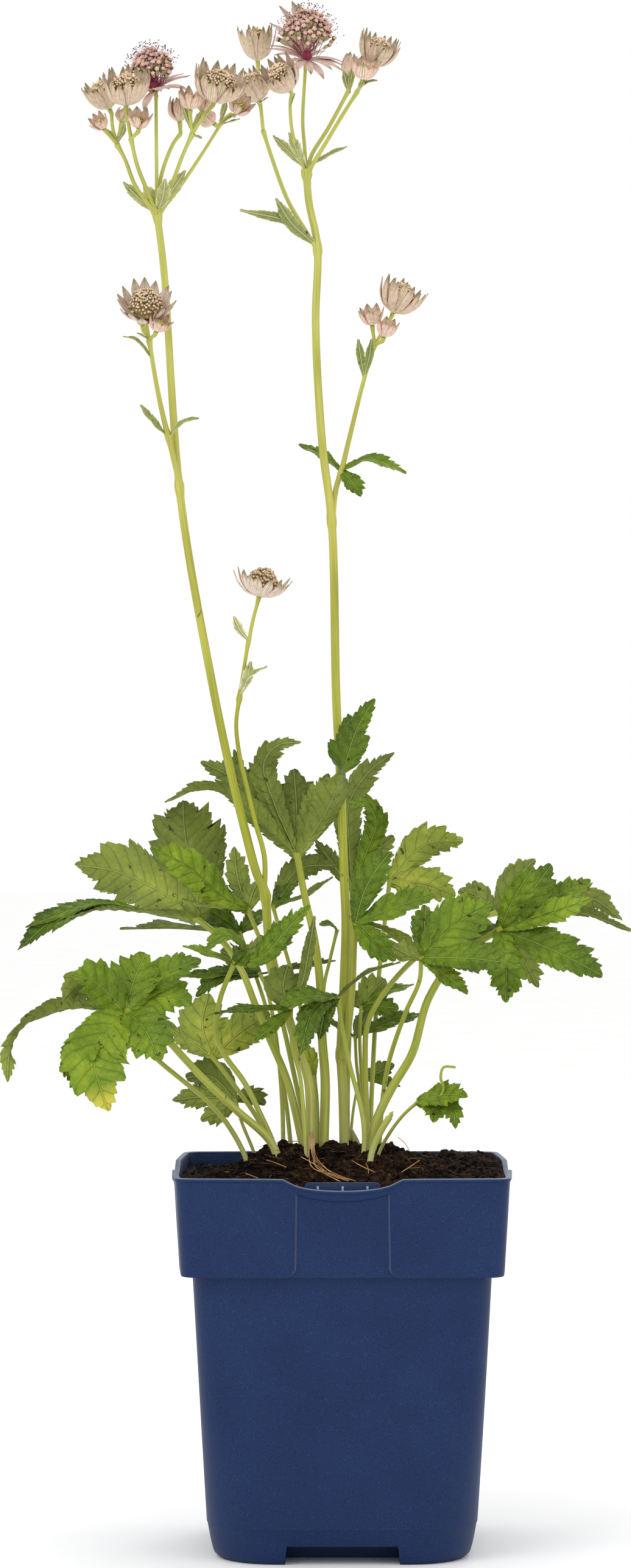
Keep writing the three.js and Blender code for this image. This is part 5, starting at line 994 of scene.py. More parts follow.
headPlan = {
    "head_cream": { "on": "stem_left", "way": [[-70.3, -37, 468.9], [-71.9, -42, 480]],
        "lean": [0.05, -0.55, 1], "form": "cup", "r": 7.6, "h": 9 },
    "head_cream_left": { "on": "stem_left", "way": [[-75, -33, 467], [-76.5, -31, 473], [-77.4, -29.5, 478.6]],
        "lean": [-0.45, -0.3, 1], "form": "cup", "r": 6.2, "h": 8.2 },
    "star_far_left": { "on": "stem_left", "way": [[-75, -33, 467], [-79.3, -37.5, 472.3]],
        "lean": [-0.6, -0.8, 0.8], "form": "star", "r": 3, "h": 3.2 },
    "bud_inner": { "on": "stem_left", "way": [[-75, -33, 467], [-73.4, -28, 474]],
        "lean": [0.2, 0.4, 1], "form": "bud", "r": 2.4, "h": 5 },
    "star_left": { "on": "stem_left", "way": [[-70.3, -37, 468.9], [-67.7, -42, 472.6]],
        "lean": [0.1, -0.7, 1], "form": "star", "r": 4, "h": 3.6 },
    "head_maroon_left": { "on": "stem_left", "way": [[-61.6, -24, 443], [-61.8, -21, 464.4], [-62.2, -20, 484.5]],
        "lean": [-0.15, -0.3, 1], "form": "open", "r": 12.6, "h": 5.5,
        "sway": (0.24, 225), "dome": (0.62, 0.8, 2.45) },
    "bud_middle": { "on": "stem_left", "way": [[-53.7, -16, 470.5], [-54, -15, 474]],
        "lean": [-0.1, 0.1, 1], "form": "bud", "r": 3, "h": 8.5 },
    "star_middle": { "on": "stem_left", "way": [[-49.8, -28, 470.5], [-50.5, -30, 478.5]],
        "lean": [0.1, -0.4, 1], "form": "star", "r": 4.2, "h": 4.4 },
    "bud_pink": { "on": "stem_left", "way": [[-49.8, -28, 470.5], [-46.5, -25, 477.5]],
        "lean": [0.2, 0.3, 1], "form": "bud", "r": 2.6, "h": 6 },
    "head_large": { "on": "stem_left", "way": [[-49.8, -28, 470.5], [-45.9, -30, 476.6], [-42.5, -31, 481.4]],
        "lean": [0.3, -0.6, 1], "form": "cup", "r": 9, "h": 9 },
    "star_dark": { "on": "stem_left", "way": [[-39.8, -12, 474.6], [-37, -14, 477], [-35.2, -15, 477.6]],
        "lean": [0.5, -0.9, 0.7], "form": "star", "r": 4.4, "h": 4.2 },
    "bud_low": { "on": "stem_left", "way": [[-39.8, -12, 474.6], [-42.5, -15, 473.8]],
        "lean": [-0.7, -0.4, 0.5], "form": "bud", "r": 3, "h": 5.5 },
    "head_lower": { "on": "stem_left", "way": [[-64.2, -35, 401.8], [-65.3, -38, 409.6]],
        "lean": [0.05, -1.1, 1], "form": "flared", "r": 9.6, "h": 9.5 },
    "star_lower": { "on": "stem_left", "way": [[-64.2, -35, 401.8], [-61.8, -43, 404.6]],
        "lean": [0.5, -0.8, 1], "form": "star", "r": 3.6, "h": 3.8 },
    "bud_lower": { "on": "stem_left", "way": [[-64.2, -35, 401.8], [-66.3, -31, 406]],
        "lean": [-0.2, 0.3, 1], "form": "bud", "r": 1.5, "h": 4 },
    "head_single": { "on": "stem_left", "way": [[-31.1, -16, 300], [-29.9, -16, 306.9], [-27.6, -16, 315.9]],
        "lean": [0.25, -0.15, 1], "form": "flared", "r": 9.2, "h": 9 },
    "star_side": { "on": "stem_right", "way": [[11, 16, 400], [10.2, 15, 406.5]],
        "lean": [-0.1, -0.4, 1], "form": "star", "r": 4.2, "h": 4.2 },
    "star_side_low": { "on": "stem_right", "way": [[11, 16, 400], [14, 10, 402.6]],
        "lean": [0.3, -0.5, 1], "form": "star", "r": 4, "h": 4 },
    "head_side": { "on": "stem_right", "way": [[11, 16, 400], [15.5, 18, 407.5], [17.1, 18, 410.6]],
        "lean": [0.45, -0.2, 1], "form": "cup", "r": 7.6, "h": 9 },
    "head_pale": { "on": "stem_right", "way": [[-26.2, 4, 471.5], [-27.6, 5.5, 481.2]],
        "lean": [-0.4, -0.4, 1], "form": "cup", "r": 6.6, "h": 8.4 },
    "head_top_left": { "on": "stem_right", "way": [[-26.2, 4, 471.5], [-27.3, 16, 483], [-28, 25, 494.6]],
        "lean": [-0.05, -0.2, 1], "form": "tall", "r": 6.4, "h": 9.4 },
    "head_sideways": { "on": "stem_right", "way": [[-11.8, 12, 457], [-15, 8, 465.4], [-16.7, 5, 472.5],
        [-17.1, 0, 481.7], [-17.3, -3, 485]], "lean": [-0.55, -0.7, 0.8], "form": "cup", "r": 6.4, "h": 9 },
    "head_maroon_right": { "on": "stem_right", "way": [[-11.8, 12, 457], [-12.4, 14, 466.4],
        [-13, 16, 474.6], [-12, 16, 494.6]], "lean": [0.05, -0.4, 1], "form": "open", "r": 13.4, "h": 6.2,
        "sway": (0.26, 320),
        "raised": ((160, -54, 1.5), (141, -64, 1.5), (126, -67, 1.42), (176, -38, 1.3)) },
    "bud_right": { "on": "stem_right", "way": [[2, 17, 484.3], [2.4, 17.5, 488.5]],
        "lean": [0.1, 0.1, 1], "form": "bud", "r": 3, "h": 8.5 },
    "star_right": { "on": "stem_right", "way": [[5.3, 3, 484.7], [7, 2, 488.5]],
        "lean": [0.2, -0.5, 1], "form": "star", "r": 5.4, "h": 4.6 },
    "head_right": { "on": "stem_right", "way": [[5.3, 3, 484.7], [8.5, 8, 489.5], [10.2, 9, 493]],
        "lean": [0.35, -0.4, 1], "form": "cup", "r": 7, "h": 8.4 },
}

stalkGirth = (0.62, 0.55)


def makeStem(name, plan, seed):
    rng = random.Random(seed)
    swells = [(place(at), size * 0.25) for size, tall, at in plan["knuckles"]]
    swells += [(place(head["way"][0]), 0.16) for head in headPlan.values() if head["on"] == name]
    lines = []
    for part in plan["lines"]:
        line = smoothLine([place(p) for p in part["line"]], longest=2)
        lines.append((line, tapered(line, part["girth"], swells)))
    for head in headPlan.values():
        if head["on"] == name:
            way = [place(p) for p in head["way"]]
            foot = way[-1] - Vector(head["lean"]).normalized() * 1.6
            line = [*smoothLine([*way[:-1], foot], longest=1.5), way[-1]]
            lines.append((line, tapered(line, stalkGirth, [(way[-1], 0.3)])))
    skin = newSkin()
    for width, face, start, *path in plan["bracts"]:
        # pale at its base and along its margin, paler still up among the flowers
        isLow = start[2] < 370 and width > 4.5
        level = 0.2 + 0.28 * min(1, max(0, (start[2] - 330) / 130)) if start[2] > 330 else 0.65
        pale = lambda t, u: (level + 0.3 * (1 - t) ** 3 + 0.34 * abs(u) ** 4, 0.0, 0.0, 1.0)
        addBlade(skin, place(start), [width * (1.15 if isLow else 0.98), face, *path], rng,
            toneOf(0.5, rng) if isLow else pale,
            2 if isLow else 0, 3 if isLow else 1)
    blades = meshOf(name, skin, [stemLeafUpper, stemLeafUnder, leafUpper, leafUnder])
    piece = joined("fine_" + name, [stalkMesh(name, lines, 9, 0.02), blades])
    settle(piece, name, 55)


for seed, (name, plan) in enumerate(stemPlan.items()):
    makeStem(name, plan, 50 + seed)
print("stems made")


# The stump of a cut petiole and the pale bud of the next shoot

crownPlan = {
    "stub": [[9, -18.5, 118], [9.8, -18.5, 129.5], [13, -18.5, 137.5], [16.7, -18.5, 143.5]],
    "stubGirth": (1, 1.1),
    "bud": [[4.6, 3, 118], [4.6, 3, 127], [4.8, 2.6, 133], [3.2, 2.2, 138.5]],
    "budGirth": (1.6, 2.1, 1.8, 0.4),
}


def makeCrown():
    line = smoothLine([place(p) for p in crownPlan["stub"]], longest=1.5)
    radii = tapered(line, crownPlan["stubGirth"])
    # the cut end is hollow: the wall turns back down inside
    down = (line[-2] - line[-1]).normalized()
    hollow = [line[-1] + down * 0.02, line[-1] + down * 1.6]
    stub = stalkMesh("stub", [([*line, *hollow], [*radii, 0.75, 0.7])], finish=petioleGreen)
    settle(joined("fine_petiole_stub", [stub]), "petiole_stub", 40)
    spots = [place(p) for p in crownPlan["bud"]]
    line = smoothLine(spots, longest=0.8)
    girth = crownPlan["budGirth"]
    radii = []
    for point in line:
        share = (point.z - spots[0].z) / (spots[-1].z - spots[0].z) * 3
        k = min(2, max(0, int(share)))
        radii.append(max(0.2, girth[k] + (girth[k + 1] - girth[k]) * min(1, share - k)))
    settle(joined("fine_crown_bud", [stalkMesh("bud", [(line, radii)], 5, 0.1)]), "crown_bud", 40)


makeCrown()
print("crown made")


# Flower heads, in their own millimetres with the head pointing up Z: bracts round the foot,
# and a dome of florets over them

headForms = {
    "cup": {"bracts": 17, "wide": 0.45, "path": [(0.1, 0), (0.56, 0.2), (0.86, 0.6), (0.98, 1.18)],
        "dome": (0.68, 0.5, 1.15), "florets": 150, "size": 0.7, "thread": 1, "loose": 0.07},
    "tall": {"bracts": 15, "wide": 0.46, "path": [(0.1, 0), (0.52, 0.2), (0.8, 0.6), (0.98, 1.2)],
        "dome": (0.55, 0.5, 1.16), "florets": 90, "size": 0.7, "thread": 1, "loose": 0.07},
    "flared": {"bracts": 15, "wide": 0.4, "path": [(0.1, 0), (0.5, 0.14), (0.8, 0.42), (1.0, 0.82)],
        "dome": (0.6, 0.35, 1.05), "florets": 150, "size": 0.66, "thread": 2, "loose": 0.1},
    "open": {"bracts": 17, "wide": 0.24, "path": [(0.06, 0.05), (0.35, 0.24), (0.72, 0.3), (1.0, 0.2)],
        "dome": (0.72, 0.75, 2.7), "florets": 96, "size": 1.1, "thread": 6, "loose": 0.2},
    "star": {"bracts": 7, "wide": 0.85, "path": [(0.1, 0), (0.55, 0.25), (0.8, 0.75), (0.95, 1.5)],
        "dome": (0.5, 0.5, 1.0), "florets": 20, "size": 0.55, "thread": 1, "loose": 0.1},
    "bud": {"bracts": 7, "wide": 0.95, "path": [(0.15, 0), (0.95, 0.35), (0.85, 0.7), (0.5, 1.0)],
        "dome": (0.5, 0.4, 0.75), "florets": 10, "size": 0.6, "thread": 1, "loose": 0.05},
}
headPaint = {            # bract, petal, seed case and stalk of the florets
    "cup": ("#ecd5c2", "#e6cdb0", "#a59c5c", "#a8ac66"),
    "tall": ("#ecd5c2", "#e0c8a2", "#a59c5c", "#a8ac66"),
    "flared": ("#f8e6dc", "#dcc4a4", "#a4935f", "#a06c74"),
    "open": ("#f6dad8", "#e6c2b2", "#bdb88a", "#983a5a"),
    "star": ("#fcdccf", "#d3c468", "#b4b45c", "#b5ba6c"),
    "bud": ("#f4d5c8", "#d3c468", "#b4b45c", "#b5ba6c"),
}


def addBract(skin, form, r, h, paint, scale=1.0):
    # one bract lying out along X and curving up, cupped round the head's axis
    path = [Vector((x * r, 0, z * h)) for x, z in form["path"]]
    rows = 12
    line = smoothLine(path, count=rows)
    wide = form["wide"] * r * scale
    first = len(skin["points"])
    for i, spot in enumerate(line):
        t = i / rows
        along = (line[min(rows, i + 1)] - line[max(0, i - 1)]).normalized()
        normal = Vector((along.z, 0, -along.x))      # outwards and down
        past = max(0, (t - 0.58) / 0.42)
        swell = 0.42 + 0.58 * sin(pi / 2 * t / 0.58) if not past else max(0, cos(pi / 2 * past)) ** 0.92
        reach = max(wide / 2 * swell, 0.07)
        bow = max(2.2, spot.x)
        for j in range(-2, 3):
            u = j / 2
            side = u * reach
            drop = side * side / (2 * bow)
            point = spot + Vector((0, side, 0)) + normal * (-drop) + normal * (0.1 * reach * (1 - u * u))
            edge = 0.13 * (1 - 0.5 * u * u)
            skin["points"] += [point + normal * edge, point - normal * edge]
            skin["uvs"] += [(u, t)] * 2
            skin["tones"] += [paint] * 2
    spotAt = lambda row, column: first + (row * 5 + column) * 2
    for i in range(rows):
        for j in range(4):
            a, b, c, d = spotAt(i, j), spotAt(i, j + 1), spotAt(i + 1, j + 1), spotAt(i + 1, j)
            skin["faces"] += [(d, c, b, a), (a + 1, b + 1, c + 1, d + 1)]
        a, d = spotAt(i, 0), spotAt(i + 1, 0)
        skin["faces"].append((a + 1, d + 1, d, a))
        b, c = spotAt(i, 4), spotAt(i + 1, 4)
        skin["faces"].append((c + 1, b + 1, b, c))
    for j in range(4):
        a, b = spotAt(0, j), spotAt(0, j + 1)
        skin["faces"].append((b + 1, a + 1, a, b))
        d, c = spotAt(rows, j), spotAt(rows, j + 1)
        skin["faces"].append((d + 1, c + 1, c, d))


def addLathe(skin, profile, count, paint, lobed=0.0, at=Vector((0, 0, 0)), tilt=None):
    # a closed body of rings (radius, height), with lobed the rings go in and out by turns
    first = len(skin["points"])
    for radius, height in profile:
        for k in range(count):
            turn = 2 * pi * k / count
            reach = radius * (1 - lobed * (k % 2))
            spot = Vector((reach * cos(turn), reach * sin(turn), height))
            skin["points"].append(at + (tilt @ spot if tilt else spot))
            skin["tones"].append(paint)
    rings = len(profile)
    for i in range(rings - 1):
        for k in range(count):
            n = (k + 1) % count
            skin["faces"].append((first + i * count + k, first + i * count + n,
                first + (i + 1) * count + n, first + (i + 1) * count + k))
    skin["faces"].append(tuple(first + k for k in reversed(range(count))))
    skin["faces"].append(tuple(first + (rings - 1) * count + k for k in range(count)))


def floretOf(paints, thread, isOpen):
    # one floret pointing up Z, its five petals' top at 0, on a thread of this length
    petal, seed, stalk = [colourOf(code) for code in paints]
    long, wide = (3.5, 0.72) if isOpen else (2.4, 0.45)
    skin = newSkin()
    # five petals curled in: the open ones leave a hollow, the others close to a bud
    top = [(0.3, -0.85), (0.84, -0.35), (0.74, 0.08), (0.3, -0.12)] if isOpen else \
        [(0.3, -0.8), (0.72, -0.35), (0.56, 0.05), (0.12, 0.12)]
    addLathe(skin, top, 10, petal, 0.34 if isOpen else 0.26)
    addLathe(skin, [(0.25, -long), (wide, -0.6 * long), (0.4, -0.7)], 6, seed, 0.2)
    if isOpen:
        addLathe(skin, [(0.4, -1.15), (0.72, -0.75), (0.5, -0.5)], 5, colourOf("#7a3a48"))
    addLathe(skin, [(0.08, -long - thread), (0.1, -long + 0.1)], 3, stalk)
    if isOpen:
        filament, anther = colourOf("#d9b9b4"), colourOf("#4a2431")
        for k in range(2):
            tilt = Matrix.Rotation(2.4 * k, 3, "Z") @ Matrix.Rotation(radians(20 + 22 * k), 3, "Y")
            tall = 2.0 + 0.7 * k
            addLathe(skin, [(0.035, 0), (0.03, tall)], 3, filament, tilt=tilt)
            addLathe(skin, [(0.05, tall - 0.05), (0.2, tall + 0.12), (0.05, tall + 0.32)], 4, anther, tilt=tilt)
    return meshOf("floret", skin, [floretSkin])


def makeBractTree():
    tree, given = newTree("bracts_round_a_head", {
        "Shape": "Object", "Count": "Int", "Tilt": "Float", "Sway": "Float", "Sway way": "Float",
        "Seed": "Int", "Finish": "Material"})
    spots = addNode(tree, "GeometryNodePoints", None, {"Count": given["Count"]})
    index = addNode(tree, "GeometryNodeInputIndex").outputs[0]
    shape = addNode(tree, "GeometryNodeObjectInfo", None, {0: given["Shape"]}).outputs["Geometry"]
    chance = lambda low, high, salt: addNode(tree, "FunctionNodeRandomValue", {"data_type": "FLOAT"}, {
        2: low, 3: high, "Seed": sumOf(tree, "ADD", given["Seed"], salt)}).outputs[1]
    turn = sumOf(tree, "DIVIDE", sumOf(tree, "MULTIPLY", index, 2 * pi), given["Count"])
    turn = sumOf(tree, "ADD", turn, chance(-0.09, 0.09, 1.0))
    # every second bract stands a little wider, so that their edges lie over each other by turns
    layer = sumOf(tree, "MODULO", index, 2.0)
    wide = sumOf(tree, "MULTIPLY_ADD", layer, -0.07, 0.035)
    tilt = sumOf(tree, "ADD", sumOf(tree, "MULTIPLY", chance(-1.0, 1.0, 2.0), given["Tilt"]), wide)
    # a wilting head's bracts droop on one side and rise on the other
    side = sumOf(tree, "COSINE", sumOf(tree, "SUBTRACT", turn, given["Sway way"]))
    tilt = sumOf(tree, "MULTIPLY_ADD", side, given["Sway"], tilt)
    euler = addNode(tree, "ShaderNodeCombineXYZ", None, {1: tilt, 2: turn})
    size = addNode(tree, "ShaderNodeCombineXYZ", None, {
        0: chance(0.95, 1.05, 3.0), 1: chance(0.86, 1.08, 4.0), 2: chance(0.93, 1.06, 5.0)})
    copies = addNode(tree, "GeometryNodeInstanceOnPoints", None, {
        0: spots.outputs[0], 2: shape, 5: euler.outputs[0], 6: size.outputs[0]})
    endTree(tree, copies.outputs[0], given)
    return tree


def makeFloretTree():
    # florets stand on a dome in a sunflower's spiral and point away from its foot
    tree, given = newTree("florets_on_a_dome", {
        "Shape": "Object", "Count": "Int", "Wide": "Float", "Low": "Float", "Top": "Float",
        "Seed": "Int", "Finish": "Material"})
    spots = addNode(tree, "GeometryNodePoints", None, {"Count": given["Count"]})
    index = addNode(tree, "GeometryNodeInputIndex").outputs[0]
    shape = addNode(tree, "GeometryNodeObjectInfo", None, {0: given["Shape"]}).outputs["Geometry"]
    chance = lambda low, high, salt: addNode(tree, "FunctionNodeRandomValue", {"data_type": "FLOAT"}, {
        2: low, 3: high, "Seed": sumOf(tree, "ADD", given["Seed"], salt)}).outputs[1]
    share = sumOf(tree, "DIVIDE", sumOf(tree, "ADD", index, 0.5), given["Count"])
    out = sumOf(tree, "SQRT", share)
    turn = sumOf(tree, "MULTIPLY", index, 2.39996)
    reach = sumOf(tree, "MULTIPLY", sumOf(tree, "MULTIPLY", out, given["Wide"]), chance(0.87, 1.08, 1.0))
    rise = sumOf(tree, "SQRT", sumOf(tree, "SUBTRACT", 1.02, share))
    tall = sumOf(tree, "SUBTRACT", given["Top"], given["Low"])
    height = sumOf(tree, "MULTIPLY_ADD", sumOf(tree, "MULTIPLY", rise, chance(0.88, 1.08, 2.0)), tall, given["Low"])
    where = addNode(tree, "ShaderNodeCombineXYZ", None, {
        0: sumOf(tree, "MULTIPLY", reach, sumOf(tree, "COSINE", turn)),
        1: sumOf(tree, "MULTIPLY", reach, sumOf(tree, "SINE", turn)), 2: height}).outputs[0]
    placed = addNode(tree, "GeometryNodeSetPosition", None, {0: spots.outputs[0], 2: where})
    aim = addNode(tree, "FunctionNodeAlignRotationToVector", {"axis": "Z"}, {
        "Rotation": addNode(tree, "FunctionNodeEulerToRotation", None, {
            0: addNode(tree, "ShaderNodeCombineXYZ", None, {2: chance(0.0, 6.28, 3.0)}).outputs[0]}).outputs[0],
        "Vector": where})
    sway = addNode(tree, "FunctionNodeRandomValue", {"data_type": "FLOAT_VECTOR"}, {
        0: (-1, -1, -1), 1: (1, 1, 1), "Seed": sumOf(tree, "ADD", given["Seed"], 5.0)}).outputs[0]
    sway = addNode(tree, "ShaderNodeVectorMath", {"operation": "SCALE"}, {
        0: sway, 3: sumOf(tree, "MULTIPLY", given["Wide"], 0.3)}).outputs[0]
    tree.links.new(addNode(tree, "ShaderNodeVectorMath", {"operation": "ADD"}, {0: where, 1: sway}).outputs[0],
        aim.inputs["Vector"])
    size = chance(0.78, 1.18, 4.0)
    copies = addNode(tree, "GeometryNodeInstanceOnPoints", None, {
        0: placed.outputs[0], 2: shape, 5: aim.outputs[0], 6: size})
    endTree(tree, copies.outputs[0], given)
    return tree


bractTree = makeBractTree()
floretTree = makeFloretTree()


def makeHead(name, plan, seed):
    form = headForms[plan["form"]]
    bractPaint, *paints = headPaint[plan["form"]]
    r, h = plan["r"], plan["h"]
    aim = Vector(plan["lean"]).normalized()
    foot = place(plan["way"][-1]) + aim * 0.35
    skin = newSkin()
    addBract(skin, form, r, h, colourOf(bractPaint))
    shape = holderOf("bract", meshOf("bract", skin, [bractSkin]))
    sway, way = plan.get("sway", (0.0, 0))
    bracts = grown(holderOf(name, bpy.data.meshes.new(name)), bractTree, {
        "Shape": shape, "Count": form["bracts"], "Tilt": form["loose"], "Sway": sway, "Sway way": radians(way),
        "Seed": seed, "Finish": bractSkin})
    raised = []
    for turn, lift, size in plan.get("raised", []):
        bract = shape.data.copy()
        bract.transform(Matrix.Rotation(radians(turn), 4, "Z") @ Matrix.Rotation(radians(lift), 4, "Y")
            @ Matrix.Diagonal((size, 1.4 * size, size, 1)))
        raised.append(bract)
    wide, low, top = plan.get("dome", form["dome"])
    floret = floretOf(paints, form["thread"], plan["form"] == "open")
    size = form["size"]
    floret.transform(Matrix.Diagonal((size, size, size, 1)))
    tiny = holderOf("floret", floret)
    florets = grown(holderOf(name, bpy.data.meshes.new(name)), floretTree, {
        "Shape": tiny, "Count": form["florets"], "Wide": wide * r * mm, "Low": low * h * mm,
        "Top": top * h * mm, "Seed": seed, "Finish": floretSkin})
    bpy.data.objects.remove(shape)
    bpy.data.objects.remove(tiny)
    # the receptacle: a small knob under an open head, else it fills the cup under the florets
    seat = newSkin()
    if plan["form"] == "open":
        addLathe(seat, [(0.6, -0.3), (1.3, 0.3), (2.0, 1.2), (2.0, 2.2), (1.4, 3.2), (0.2, 3.5)], 16, colourOf(paints[2]))
    else:
        addLathe(seat, [(0.5, -0.3), (0.9, 0.1), (0.34 * r, 0.16 * h), (wide * r * 0.8, low * h * 0.8),
            (wide * r * 0.55, low * h + (top - low) * h * 0.3), (0.1, low * h + (top - low) * h * 0.45)],
            16, colourOf(paints[1]))
    turn = Vector((0, 0, 1)).rotation_difference(aim).to_matrix().to_4x4()
    piece = joined("fine_" + name, [bracts, florets, meshOf("seat", seat, [floretSkin]), *raised])
    piece.data.transform(Matrix.Translation(foot * mm) @ turn)
    settle(piece, name, 60)


for seed, (name, plan) in enumerate(headPlan.items()):
    makeHead(name, plan, 100 + seed)
print("flower heads made")


# Pot. Heights and half widths in millimetres.

potShape = {
    "rim": 126.5, "collar": 94.3, "footTop": 11.5, "heel": 4,
    "halfRim": 54, "halfCollar": 52.3, "halfBody": 48.5, "halfFoot": 44.4, "halfBase": 42.2,
    "bow": 2, "bowCollar": 1.6, "bowBody": 1.2, "bowFoot": 0.2,
    "wall": 1.5, "floor": 8, "channel": 6, "island": 27,
    "dip": 3.8, "recess": 1, "bead": 0.35,
    "notch": (19.4, 17.7, 6),                 # half width at the ground, at its top, and its height
    "panel": (14.7, 15.2, 3.4, 2.4),          # half width at head and foot, flare, lip under the rim
    "pocket": {"half": 12.3, "low": 100, "high": 125, "gap": 3, "plate": 1.2, "rib": 0.7, "ribs": (-8, 0, 8)},
}
cornerSteps = 7


def rimDrop(x):
    # how far the rim has dropped: flat, a short S, then a shallow arc
    away = abs(x)
    dip = potShape["dip"]
    if away > 20:
        return 0
    if away > 14:
        t = (20 - away) / 6
        return dip * 0.62 * (3 * t * t - 2 * t ** 3)
    return dip * (0.62 + 0.38 * (1 - (away / 14) ** 2) ** 0.7)


def panelEdge(z):
    # half width of the sunk panel; it flares at its foot and hands over to the foot's notch below
    head, foot, flare, lip = potShape["panel"]
    wideNotch, narrowNotch, tall = potShape["notch"]
    collar = potShape["collar"]
    if z >= collar:
        rise = (z - collar) / (potShape["rim"] - collar)
        near = max(0, 1 - (z - collar) / flare)
        return foot + (head - foot) * rise + flare * near ** 2.4
    if z > 12:
        return narrowNotch + (foot + flare - narrowNotch) * (z - 12) / (collar - 12)
    return narrowNotch + (wideNotch - narrowNotch) * max(0, 1 - z / tall)


def sideColumns(half, corner, z):
    # places along one side, each with how deep it lies in the panel (1 inside, 0 outside)
    straight = half - corner
    edge = min(panelEdge(z), straight - 3)
    inside = [(edge - 0.3) * k / 6 for k in range(7)]
    steps = [(edge - 0.3, 1), (edge - 0.08, 0.85), (edge + 0.12, 0.2), (edge + 0.4, 0)]
    outside = [edge + 0.4 + (straight - edge - 0.4) * k / 8 for k in range(1, 9)]
    right = [(x, 1) for x in inside[:-1]] + steps + [(x, 0) for x in outside]
    return [(-x, deep) for x, deep in reversed(right[1:])] + right


def potRing(half, corner, bow, z, heightOf=None, sink=0.0):
    # one ring of the pot, all four sides; heightOf gives the height at a place along a side
    ring = []
    for quarter in range(4):
        turn = Matrix.Rotation(quarter * pi / 2, 3, "Z")
        straight = half - corner
        for x, deep in sideColumns(half, corner, z):
            y = -half - bow * cos(x / straight * pi / 2) + sink * deep
            ring.append(turn @ Vector((x, y, heightOf(x, deep) if heightOf else z)))
        for k in range(1, cornerSteps):
            a = pi / 2 * k / cornerSteps
            y = -straight - corner * cos(a)
            ring.append(turn @ Vector((straight + corner * sin(a), y, heightOf(straight, 0) if heightOf else z)))
    return ring


def addRings(skin, rings, closeFirst=True, closeLast=True):
    first = len(skin["points"])
    count = len(rings[0])
    for ring in rings:
        skin["points"] += ring
    for i in range(len(rings) - 1):
        for k in range(count):
            n = (k + 1) % count
            low, high = first + i * count, first + (i + 1) * count
            skin["faces"].append((low + k, low + n, high + n, high + k))
    for isWanted, ring, start in ((closeFirst, rings[0], first), (closeLast, rings[-1], first + (len(rings) - 1) * count)):
        if not isWanted:
            continue
        skin["points"].append(sum(ring, Vector()) / count)
        middle = len(skin["points"]) - 1
        for k in range(count):
            n = (k + 1) % count
            face = (middle, start + n, start + k) if start == first else (middle, start + k, start + n)
            skin["faces"].append(face)


def cavityHalf(z):
    # half width, corner and bow of the inside at a height
    s = potShape
    levels = [
        (s["floor"], s["halfFoot"] - s["wall"] - 0.6, 18, 0), (40, s["halfFoot"], 12, s["bowBody"] / 2),
        (s["collar"] + 0.6, s["halfBody"] - s["wall"], 7, s["bowBody"]),
        (s["collar"] + 3, s["halfCollar"] - s["wall"], 5, s["bowCollar"]), (s["rim"], s["halfRim"] - s["wall"], 4, s["bow"]),
    ]
    for (z0, *low), (z1, *high) in zip(levels, levels[1:]):
        if z <= z1:
            t = max(0, (z - z0) / (z1 - z0))
            return [a + (b - a) * t for a, b in zip(low, high)]
    return list(levels[-1][1:])


